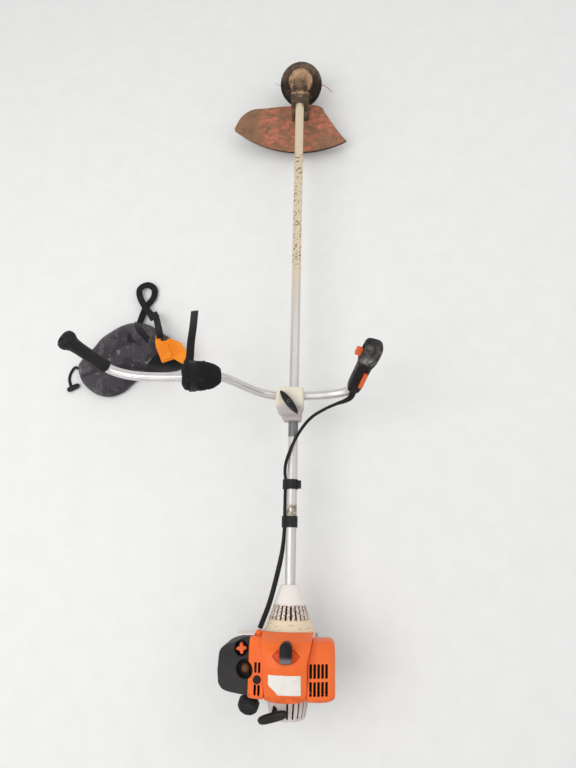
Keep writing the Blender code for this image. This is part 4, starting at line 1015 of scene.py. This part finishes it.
def make_fuel_cap():
    profile = [
        (0.0, 0.0088), (0.012, 0.0088), (0.015, 0.01), (0.0185, 0.0098), (0.0228, 0.0066), (0.0248, 0.002),
        (0.025, -0.009), (0.018, -0.009), (0.018, -0.0015), (0.0, -0.0015),
    ]
    cap = lathe("tank_cap", profile, "black", axis_matrix(CAP_CENTRE, CAP_AXIS), 96,
                lambda a: 1.0 - 0.035 * abs(math.sin(5 * a)) ** 0.6)
    placed(cap, "fuel_cap", "black_plastic", "fuel_cap")


def make_starter_grip():
    """The grip and its rope, which runs a short length along the pull and then down into the housing."""
    centre = STARTER_EXIT + STARTER_PULL * 0.026
    grip = rounded("pull_grip", (0.035, 0.0098, 0.007), "worn",
                   axis_matrix(centre, STARTER_PULL, (0.93, 0.45, 0.0)), 0.62)
    join(grip, rod("neck", STARTER_EXIT - STARTER_PULL * 0.004, centre, 0.0052))
    placed(grip, "starter_grip", "black_plastic", "starter_grip")
    inner = STARTER_EXIT - STARTER_PULL * 0.0105
    outer = STARTER_EXIT - STARTER_PULL * 0.007
    route = [outer, inner, (-0.0247, -0.0868, 0.158), (-0.0237, -0.088, 0.1425)]
    rope = sweep("pull_rope", smooth_route(route, 0.0008), circle(0.0017, 12), "webbing")
    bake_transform(rope)
    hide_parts("starter_rope")


# Handlebar and controls ---------------------------------------------------------------------------------


def make_bar():
    count = 56
    section, marks = [], []
    for k in range(count):
        angle = math.tau * k / count
        groove = sum(math.exp(-((math.remainder(angle - math.radians(a), math.tau)) / 0.085) ** 2)
                     for a in range(-60, 300, 40))
        radius = BAR_RADIUS * (1.0 - 0.05 * groove)
        section.append((radius * math.cos(angle), radius * math.sin(angle)))
        # painted shade, darkest in each groove
        marks.append(min(1.0, groove) * 0.75)
    bar = sweep("fluted_handlebar", smooth_route(BAR_ROUTE, 0.006), section, "bar", ("flute_shade", marks))
    placed(bar, "handlebar", "drawn_aluminium", "handlebar_tube")
    grip = [
        (0.0, 0.1165), (0.0095, 0.1168), (0.0135, 0.1212), (0.0175, 0.12), (0.0215, 0.1165), (0.0232, 0.11),
        (0.0222, 0.104), (0.0185, 0.0975), (0.016, 0.091), (0.0149, 0.078), (0.0147, 0.06),
        (0.0153, 0.035), (0.0158, 0.018), (0.017, 0.006), (0.0168, 0.001), (0.0155, 0.0), (0.0134, 0.0),
        (0.0134, 0.079), (0.0, 0.079),
    ]
    knurled = lathe("rubber_grip", grip, "rubber", axis_matrix(GRIP_START, GRIP_DIRECTION), 72,
                    lambda a: 1.0 - 0.01 * abs(math.sin(6 * a)))
    placed(knurled, "handlebar", "black_rubber", "left_grip")


def make_control_handle():
    """The control handle: rounded sections lofted along it, narrow below and broad at its head."""
    sections = [
        (0.0, -0.014, 0.014, -0.018, 0.0145), (0.004, -0.0155, 0.0155, -0.0205, 0.016),
        (0.02, -0.0166, 0.0184, -0.021, 0.0172), (0.05, -0.0162, 0.0184, -0.0192, 0.0172),
        (0.078, -0.0165, 0.0192, -0.0185, 0.0175), (0.09, -0.02, 0.0222, -0.0212, 0.0195),
        (0.1, -0.0214, 0.024, -0.0235, 0.0215), (0.12, -0.0208, 0.0246, -0.0238, 0.0218),
        (0.137, -0.0198, 0.024, -0.023, 0.0215), (0.1445, -0.0178, 0.0218, -0.0205, 0.019),
        (0.1485, -0.013, 0.017, -0.015, 0.014),
    ]
    keys = list(zip(*sections))
    count = 44
    rings = []
    for s in np.linspace(0.0, sections[-1][0], 70):
        x0, x1, y0, y1 = (float(np.interp(s, keys[0], keys[k])) for k in range(1, 5))
        ring = []
        for k in range(count):
            angle = math.tau * k / count
            c, n = math.cos(angle), math.sin(angle)
            u = math.copysign(abs(c) ** 0.55, c)
            v = math.copysign(abs(n) ** 0.55, n)
            ring.append(((x0 + x1) / 2 + u * (x1 - x0) / 2, (y0 + y1) / 2 + v * (y1 - y0) / 2, s))
        rings.append(ring)
    handle = lofted("throttle_grip", rings, "handle", HANDLE, 50)
    cut(
        handle,
        box("trigger_slot", (-0.007, 0.003, 0.056), (0.007, 0.035, 0.0985), None, HANDLE),
        box("trigger_recess", (-0.007, 0.0125, 0.028), (0.007, 0.035, 0.058), None, HANDLE),
        box("interlock_slot", (0.0025, -0.03, 0.0235), (0.0135, -0.0135, 0.069), None, HANDLE),
        box("switch_slot", (-0.03, -0.0085, 0.1035), (-0.0185, 0.0045, 0.1355), None, HANDLE),
    )
    inward = HANDLE.inverted()

    # where the wear and painted sheen go: the upper head, on its -y side, which faces up
    def pale_patch(co):
        local = inward @ co
        return smoothstep(0.088, 0.1, local.z) * smoothstep(-0.008, -0.0195, local.y)

    def scuffed(co):
        local = inward @ co
        near = math.exp(-(((local.x + 0.004) / 0.011) ** 2) - ((local.z - 0.106) / 0.0065) ** 2)
        return near * smoothstep(-0.008, -0.018, local.y)

    mark(handle, "pale_patch", pale_patch)
    mark(handle, "scuffed", scuffed)
    placed(handle, "handlebar", "black_plastic", "control_handle")


def make_clamp():
    top = eased([(0.58, 0.201), (0.598, 0.213), (0.64, 0.215), (0.651, 0.211)], 0.004)
    left = eased([(0.582, -0.034), (0.6, -0.0415), (0.65, -0.0405)])
    right = eased([(0.582, 0.0215), (0.6, 0.0285), (0.65, 0.0275)])
    clamp = casing("bar_saddle", (0.582, 0.65), left, right, lambda x, y: top(y),
                   lambda y: CLAMP_SCREW.z + 0.0003, (0.0075, 0.0075, 0.006, 0.0075), "clamp", 50, 50,
                   wall=0.004)
    cut(clamp, rod("bore", (-0.06, 0.631, 0.187), (0.06, 0.631, 0.187), BAR_RADIUS + 0.0012))
    placed(clamp, "handlebar", "cream_plastic", "bar_clamp")


def make_wing_knob():
    half, wide, count = 0.036, 0.009, 64
    bm = bmesh.new()
    rings = []
    layers = ((0.93, 0.0), (1.0, 0.002), (1.0, 0.012), (0.97, 0.0165), (0.9, 0.0195), (0.78, 0.021))
    for scale, height in layers:
        ring = []
        for k in range(count):
            angle = math.tau * k / count
            narrow = abs(math.sin(angle)) ** 1.25
            ring.append(bm.verts.new((half * math.cos(angle) * scale,
                                      math.copysign(wide * narrow, math.sin(angle)) * scale, height)))
        rings.append(ring)
    skin(bm, rings)
    bmesh.ops.remove_doubles(bm, verts=bm.verts, dist=0.00001)
    knob_place = axis_matrix(CLAMP_SCREW + Vector((0, 0, 0.0505)), UP, (-0.62, 0.785, 0.0))
    knob = piece("wing_knob", bm, "black", knob_place, 50)
    placed(knob, "clamp_knob", "black_plastic", "clamp_knob")
    top_of_knob = CLAMP_SCREW + Vector((0, 0, 0.0705))
    profile = [(0.0, 0.001), (0.002, 0.001), (0.0024, 0.0022), (0.0042, 0.002), (0.0046, 0.0012),
               (0.0046, -0.002), (0.0, -0.002)]
    bolt = lathe("knob_bolt", profile, "bolt", axis_matrix(top_of_knob, UP), 36)
    placed(bolt, "clamp_knob", "steel")


def make_cable():
    """The throttle cable, thicker towards the engine, and the ribbed boot where it meets the handle."""
    route = smooth_route(CABLE_ROUTE, 0.006)
    cable = sweep("control_cable", route, circle(CABLE_RADIUS, 20), "rubber",
                  grow=lambda share: 1.0 + 0.5 * smoothstep(0.62, 0.8, share))
    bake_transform(cable)
    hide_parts("throttle_cable")
    route = smooth_route([(0.152, 0.6335, 0.2275), *CABLE_ROUTE[1:4]], 0.003)
    boot = sweep("cable_boot", route, circle(0.0085, 24), "rubber",
                 grow=lambda share: 1.0 - 0.5 * share + 0.04 * math.sin(share * 70))
    placed(boot, "handlebar", "black_rubber")


# Gearbox, cutting head and guard ------------------------------------------------------------------------


def make_gearbox():
    neck = [
        (0.0, 1.701), (0.009, 1.7003), (0.015, 1.6985), (0.019, 1.6955), (0.0215, 1.691), (0.0232, 1.683),
        (0.0235, 1.676), (0.0225, 1.65), (0.0208, 1.628), (0.0212, 1.618), (0.0225, 1.613),
        (0.0228, 1.604), (0.022, 1.6), (0.0, 1.6),
    ]
    barrel = [
        (0.0, -0.0172), (0.008, -0.0168), (0.014, -0.0152), (0.0195, -0.0118), (0.023, -0.007),
        (0.024, 0.0), (0.0242, 0.015), (0.0262, 0.0188), (0.03, 0.0222), (0.035, 0.0256),
        (0.0382, 0.0282), (0.0395, 0.031), (0.0395, 0.0355), (0.039, 0.036), (0.0, 0.036),
    ]
    housing = lathe("gearcase", neck, "dome", ALONG_SHAFT, 72)
    extras = [lathe("barrel", barrel, None, OUTPUT, 80)]
    boss_x, boss_y, boss_top, lug_x = 0.0185, 1.621, 0.1655, 0.02
    for side in (-1, 1):
        extras.append(rod("boss", (side * boss_x, boss_y, 0.133), (side * boss_x, boss_y, boss_top), 0.0062))
        extras.append(rod("lug", (side * lug_x, 1.603, 0.15), (side * lug_x, 1.615, 0.15), 0.0075))
    join(housing, *extras)
    output = [(0.0, -0.007), (0.0175, -0.007), (0.0175, 0.05), (0.0, 0.05)]
    cut(housing, lathe("output_cavity", output, None, OUTPUT, 48))
    inward = OUTPUT.inverted()

    # painted shade: on the brim of the barrel and around the bosses on the neck
    def painted_shade(co):
        local = inward @ co
        brim = smoothstep(0.0352, 0.0375, math.hypot(local.x, local.y)) * smoothstep(0.02, 0.026, local.z)
        return max(0.8 * brim, 0.7 * smoothstep(1.672, 1.644, co.y) * smoothstep(1.6, 1.612, co.y))

    mark(housing, "painted_shade", painted_shade)
    placed(housing, "root", "gearcase", "gear_housing")
    profile = [(0.0, 0.001), (0.0024, 0.001), (0.0028, 0.003), (0.0045, 0.003), (0.0045, 0.0), (0.0, 0.0)]
    for side, x in (("left", -boss_x), ("right", boss_x)):
        screw = lathe("boss_screw_" + side, profile, "bracket", axis_matrix((x, boss_y, boss_top), UP), 24)
        placed(screw, "root", "steel")


def make_cutting_head():
    cup = [
        (0.0064, 0.049), (0.018, 0.049), (0.0215, 0.0505), (0.024, 0.0552), (0.03, 0.0566),
        (0.056, 0.0588), (0.0625, 0.0606), (0.0655, 0.0632), (0.0668, 0.0668), (0.067, 0.07),
        (0.064, 0.0975), (0.0632, 0.098), (0.0605, 0.098), (0.063, 0.0715), (0.061, 0.0665),
        (0.056, 0.064), (0.0064, 0.061),
    ]
    head = lathe("head_cup", cup, "head", OUTPUT, 96)
    notches = []
    for angle in (math.radians(50), math.radians(150), math.radians(265)):
        turn = OUTPUT @ Matrix.Rotation(angle, 4, "Z")
        notches.append(box("notch", (0.046, -0.0035, 0.05), (0.062, 0.0035, 0.0612), None, turn))
    eyelets = rod("eyelets", OUTPUT @ Vector((-0.09, 0, 0.08)), OUTPUT @ Vector((0.09, 0, 0.08)), 0.0028)
    cut(head, eyelets, *notches)
    inward = OUTPUT.inverted()

    # painted shade: next to the gearbox in the middle, on the wall towards the operator, and on the lower
    # side wall
    def painted_shade(co):
        local = inward @ co
        reach = math.hypot(local.x, local.y)
        wall = smoothstep(0.0535, 0.057, reach) * smoothstep(1.738, 1.704, co.y)
        return max(0.85 * smoothstep(0.044, 0.042, reach), wall, smoothstep(0.066, 0.07, local.z))

    mark(head, "painted_shade", painted_shade)
    placed(head, "head", "head_plastic", "head_housing")
    left = [(-0.049, 0.0, 0.08), (-0.062, 0.0, 0.08), (-0.074, -0.003, 0.08), (-0.087, -0.008, 0.0795)]
    right = [(0.049, 0.0, 0.08), (0.062, 0.0, 0.08), (0.08, 0.006, 0.08), (0.102, 0.024, 0.08)]
    for side, points, look in (("left", left, "pale_line"), ("right", right, "red_line")):
        route = smooth_route([OUTPUT @ Vector(p) for p in points], 0.002)
        line = sweep("nylon_" + side, route, circle(0.0012, 12), look)
        placed(line, "head", "trimmer_line", "line_" + side)


def make_guard():
    """The guard: a crowned sheet from its cut front edge to its round rear edge, and a skirt below that."""
    front = [
        (-0.212, 0.109), (-0.2, 0.085), (-0.184, 0.066), (-0.153, 0.05), (-0.11, 0.047), (-0.07, 0.044),
        (-0.036, 0.042), (0.0, 0.04), (0.027, 0.039), (0.065, 0.048), (0.081, 0.071), (0.103, 0.102),
        (0.12, 0.126), (0.134, 0.144), (0.145, 0.157),
    ]
    centre, radius, left, right, depth, shift = -0.162, 0.351, -0.211, 0.145, 0.0364, 0.0085
    skirt_steps = ((0.0012, 0.001), (0.004, 0.0012), (0.014, -0.001), (0.025, -0.0035), (depth, -0.006))
    line = smooth_route([(x, u, 0.0) for x, u in front], 0.004)
    bm = bmesh.new()
    skirt = bm.verts.layers.float.new("skirt")
    grid = []
    for i, point in enumerate(line):
        share_x = i / (len(line) - 1)
        rear_x = left + (right - left) * share_x
        rear_u = centre + math.sqrt(radius**2 - rear_x**2) - shift
        column = []
        for k in range(19):
            s = k / 18
            crown = 0.0078 * s * (1 - s)
            place = (point.x + (rear_x - point.x) * s, -(point.y + (rear_u - point.y) * s), crown)
            column.append((bm.verts.new(place), 0.0))
        for fall, out in skirt_steps:
            place = (rear_x * (1 + out), -(rear_u + out), -fall)
            column.append((bm.verts.new(place), smoothstep(0.001, 0.004, fall)))
        for vertex, value in column:
            vertex[skirt] = value
        grid.append([vertex for vertex, _ in column])
    skin(bm, grid, False, ())
    bmesh.ops.recalc_face_normals(bm, faces=bm.faces)
    up = sum((face.normal.z for face in bm.faces), 0.0)
    guard = piece("guard", bm, "guard", DEFLECTOR)
    thickened(guard, 0.0028, -1.0 if up >= 0 else 1.0)
    placed(guard, "root", "guard_plastic", "deflector")
    cutter_x = -0.15
    cutter_u = centre + math.sqrt(radius**2 - cutter_x**2) - shift - 0.012
    turn = Matrix.Rotation(math.asin(cutter_x / radius), 4, "Z")
    turn = Matrix.Translation((cutter_x, -cutter_u, 0.0)) @ turn
    blade = box("cutter_blade", (-0.02, -0.001, -0.034), (0.02, 0.001, -0.0045), "steel", DEFLECTOR @ turn)
    softened(blade, 0.0004)
    placed(blade, "root", "steel", "line_cutter")


# Soft goods ---------------------------------------------------------------------------------------------

PAD_REST = 0.0006
PUFF_LIMIT = 0.005
CLOTH_STEPS = 20


def swollen(obj, voxel, pressure, cap):
    """The piece puffed up like a filled pad: remeshed, run as pressed cloth, and held to within cap."""
    start = obj.modifiers.new("remesh", "REMESH")
    start.mode = "VOXEL"
    start.voxel_size = voxel
    baked(obj)
    before = np.array([v.co[:] for v in obj.data.vertices])
    cloth = obj.modifiers.new("cloth", "CLOTH")
    cloth.settings.use_pressure = True
    cloth.settings.uniform_pressure_force = pressure
    cloth.settings.effector_weights.gravity = 0.0
    cloth.settings.quality = 6
    scene = bpy.context.scene
    for step in range(1, CLOTH_STEPS + 1):
        scene.frame_set(step)
    baked(obj)
    scene.frame_set(1)
    after = np.array([v.co[:] for v in obj.data.vertices])
    moved = after - before
    far = np.linalg.norm(moved, axis=1, keepdims=True)
    held = before + moved * np.minimum(1.0, cap / np.maximum(far, 1e-9))
    obj.data.vertices.foreach_set("co", held.astype(np.float32).ravel())
    obj.data.update()
    return obj


PAD_OUTLINE = [
    (-0.6587, 0.7669), (-0.6505, 0.7367), (-0.6368, 0.7127), (-0.5977, 0.6802), (-0.5499, 0.6687),
    (-0.5053, 0.6836), (-0.4736, 0.7132), (-0.4409, 0.7342), (-0.3901, 0.745), (-0.3337, 0.762),
    (-0.3186, 0.79), (-0.348, 0.842), (-0.4023, 0.8802), (-0.4461, 0.906), (-0.485, 0.911),
    (-0.5177, 0.904), (-0.5571, 0.8817), (-0.5928, 0.8555), (-0.6212, 0.82), (-0.645, 0.7914),
]


def make_hip_pad():
    outline = smooth_route([(x, y, 0.0) for x, y in [*PAD_OUTLINE, PAD_OUTLINE[0]]], 0.012)[:-1]
    middle = sum(outline, Vector()) / len(outline)
    layers = [(0.955, 0.001), (0.985, 0.009), (0.93, 0.0275), (0.86, 0.037), (0.77, 0.044), (0.65, 0.05),
              (0.54, 0.0535), (0.4, 0.056), (0.27, 0.0575), (0.12, 0.058)]
    rings = [[(middle + (p - middle) * scale).to_2d().to_3d() + Vector((0, 0, height)) for p in outline]
             for scale, height in layers]
    pad = swollen(lofted("hip_cushion", rings, "cloth"), 0.005, 4.0, PUFF_LIMIT)
    crease_shade = pad.data.attributes.get("crease_shade") or pad.data.attributes.new("crease_shade", "FLOAT", "POINT")
    lowest = Vector((-0.675, 0.715))
    highest = Vector((-0.33, 0.745))
    along = (highest - lowest).normalized()
    for i, vertex in enumerate(pad.data.vertices):
        flat = vertex.co.to_2d() - lowest
        bend = 0.02 * math.sin(min(1.0, max(0.0, flat.dot(along) / 0.36)) * math.pi)
        across = flat.dot(Vector((-along.y, along.x))) - bend
        fold = math.exp(-((across / 0.0045) ** 2))
        height_share = min(1.0, vertex.co.z / 0.012)
        wrinkle = noise.noise(vertex.co * 26.0) + 0.5 * noise.noise(vertex.co * 61.0)
        vertex.co.z = max(PAD_REST, vertex.co.z + height_share * (0.0016 * wrinkle - 0.0042 * fold))
        # painted shade along the crease, as strong as the fold is deep
        crease_shade.data[i].value = 0.8 * fold * height_share
    fine = pad.modifiers.new("fine", "SUBSURF")
    fine.levels = 1
    fine.render_levels = 1
    baked(pad)
    pad.data.shade_smooth()
    placed(pad, "harness", "grey_cloth", "hip_pad")
    return pad


def make_bar_pad():
    """The foam pad on the bar, fuller at its left, with the band of its strap around it."""
    radius = eased([(-0.0465, 0.015), (-0.042, 0.0205), (-0.03, 0.028), (-0.01, 0.0345), (0.018, 0.0352),
                    (0.036, 0.0325), (0.0425, 0.0265), (0.0465, 0.016)], 0.003)
    bm = bmesh.new()
    bmesh.ops.create_uvsphere(bm, u_segments=64, v_segments=48, radius=1.0)
    for vertex in bm.verts:
        c = vertex.co.copy()
        flat = math.hypot(c.x, c.y)
        along = 0.0465 * (1.0 - 2.0 * math.acos(max(-1.0, min(1.0, c.z))) / math.pi)
        crease = 1.0 - 0.05 * math.exp(-(((along + 0.012) / 0.0022) ** 2))
        lumps = 1.0 + 0.045 * noise.noise(c * 2.3) + 0.02 * noise.noise(c * 6.1)
        reach = radius(along) * crease * lumps if flat > 1e-6 else 0.0
        scale = reach / flat if flat > 1e-6 else 0.0
        vertex.co = Vector((c.x * scale, c.y * scale, along))
    centre = axis_matrix((-0.206, 0.638, 0.33), (-0.92, -0.12, 0.3))
    pad = piece("bar_cushion", bm, "foam", centre, 80)
    placed(pad, "handlebar", "foam", "bar_pad")
    ring = [(0.0338, 0.013), (0.0358, 0.013), (0.0364, 0.014), (0.0364, 0.028), (0.0358, 0.029),
            (0.0338, 0.029)]
    placed(lathe("pad_band", ring, "webbing", centre, 64), "handlebar", "webbing")
    route = [(-0.228, 0.656, 0.357), (-0.2302, 0.6683, 0.352), (-0.2312, 0.7141, 0.35),
             (-0.2325, 0.7583, 0.336), (-0.24, 0.815, 0.302)]
    placed(strap("bar_strap", route, 0.0185, 0.002, "webbing"), "handlebar", "webbing", "pad_strap")


def slab(name, outline, low, high, look, rounding=0.001):
    rings = [[(x, y, z) for x, y in outline] for z in (low, high)]
    return softened(lofted(name, rings, look), rounding)


def make_harness_plate():
    """The bright plate: its base with a hook, a raised block on the left and ribs on the right."""
    base = [
        (-0.4085, 0.8454), (-0.409, 0.825), (-0.4053, 0.8093), (-0.3842, 0.7631), (-0.3513, 0.7749),
        (-0.3245, 0.76), (-0.3131, 0.7926), (-0.3323, 0.8223), (-0.3677, 0.8374), (-0.379, 0.829),
        (-0.393, 0.828), (-0.3985, 0.8454),
    ]
    plate = slab("carrying_plate", base, 0.056, 0.0645, "bright")
    placed(plate, "harness", "bright_plastic", "harness_plate")
    raised = [(-0.402, 0.8085), (-0.383, 0.7665), (-0.355, 0.7765), (-0.37, 0.818), (-0.386, 0.818)]
    placed(slab("plate_block", raised, 0.064, 0.0675, "bright", 0.0012), "harness", "bright_plastic")
    along, across = Vector((0.773, -0.634)), Vector((-0.634, -0.773))
    for k in range(5):
        start = Vector((-0.364, 0.829)) + across * (0.004 + 0.0078 * k) + along * (0.0015 * k)
        end = start + along * (0.048 - 0.0035 * k)
        half = across * 0.0013
        corners = [start + half, start - half, end - half, end + half]
        rib = slab(f"plate_rib_{k + 1}", corners, 0.064, 0.0668, "bright", 0.0004)
        placed(rib, "harness", "bright_plastic")


def make_webbing(pad):
    loop = [
        (-0.481, 0.9, 0.01), (-0.4664, 0.9551, 0.01), (-0.4456, 0.9904, 0.008), (-0.445, 1.02, 0.008),
        (-0.466, 1.034, 0.01), (-0.487, 1.02, 0.014), (-0.486, 0.995, 0.016), (-0.4703, 0.9647, 0.02),
        (-0.4463, 0.9326, 0.026), (-0.423, 0.912, 0.036), (-0.409, 0.8819, 0.052), (-0.397, 0.8508, 0.068),
        (-0.395, 0.835, 0.0665),
    ]
    webbing = strap("harness_webbing", loop, 0.0195, 0.002, "webbing", pad)
    placed(webbing, "harness", "webbing", "harness_strap")
    side = [
        (-0.65, 0.762, 0.01), (-0.664, 0.766, 0.006), (-0.6755, 0.75, 0.002), (-0.6775, 0.73, 0.0018),
        (-0.67, 0.708, 0.0018),
    ]
    placed(strap("side_webbing", side, 0.008, 0.0024, "webbing"), "harness", "webbing", "side_strap")
    buckle = axis_matrix((-0.4285, 0.916, 0.04), (0.22, -0.36, 0.9), (0.8, 0.5, 0.0))
    slide = box("slide_buckle", (-0.015, -0.0095, -0.0022), (0.015, 0.0095, 0.0022), "black", buckle)
    softened(slide, 0.0012)
    bar = box("buckle_bar", (-0.015, -0.0015, 0.0018), (0.015, 0.0015, 0.004), "black", buckle)
    softened(bar, 0.0008)
    toggle = rounded("side_toggle", (0.019, 0.0075, 0.0055), "black",
                     axis_matrix((-0.66, 0.7035, 0.0066), UP, (0.88, 0.47, 0.0)), 0.55)
    for extra in (slide, bar, toggle):
        placed(extra, "harness", "black_plastic")


make_camera()
LOOKS = make_finishes()
make_studio()
finish_nodes()
make_shroud()
make_boot()
make_sticker()
make_exhaust_cover()
make_intake_panel()
make_filter_cover()
make_filter_and_shields()
make_primer_and_choke()
make_cone()
make_starter()
make_fuel_cap()
make_starter_grip()
make_bar()
make_control_handle()
make_clamp()
make_wing_knob()
make_cable()
make_gearbox()
make_cutting_head()
make_guard()
hip_pad = make_hip_pad()
make_bar_pad()
make_harness_plate()
make_webbing(hip_pad)

bpy.context.view_layer.update()
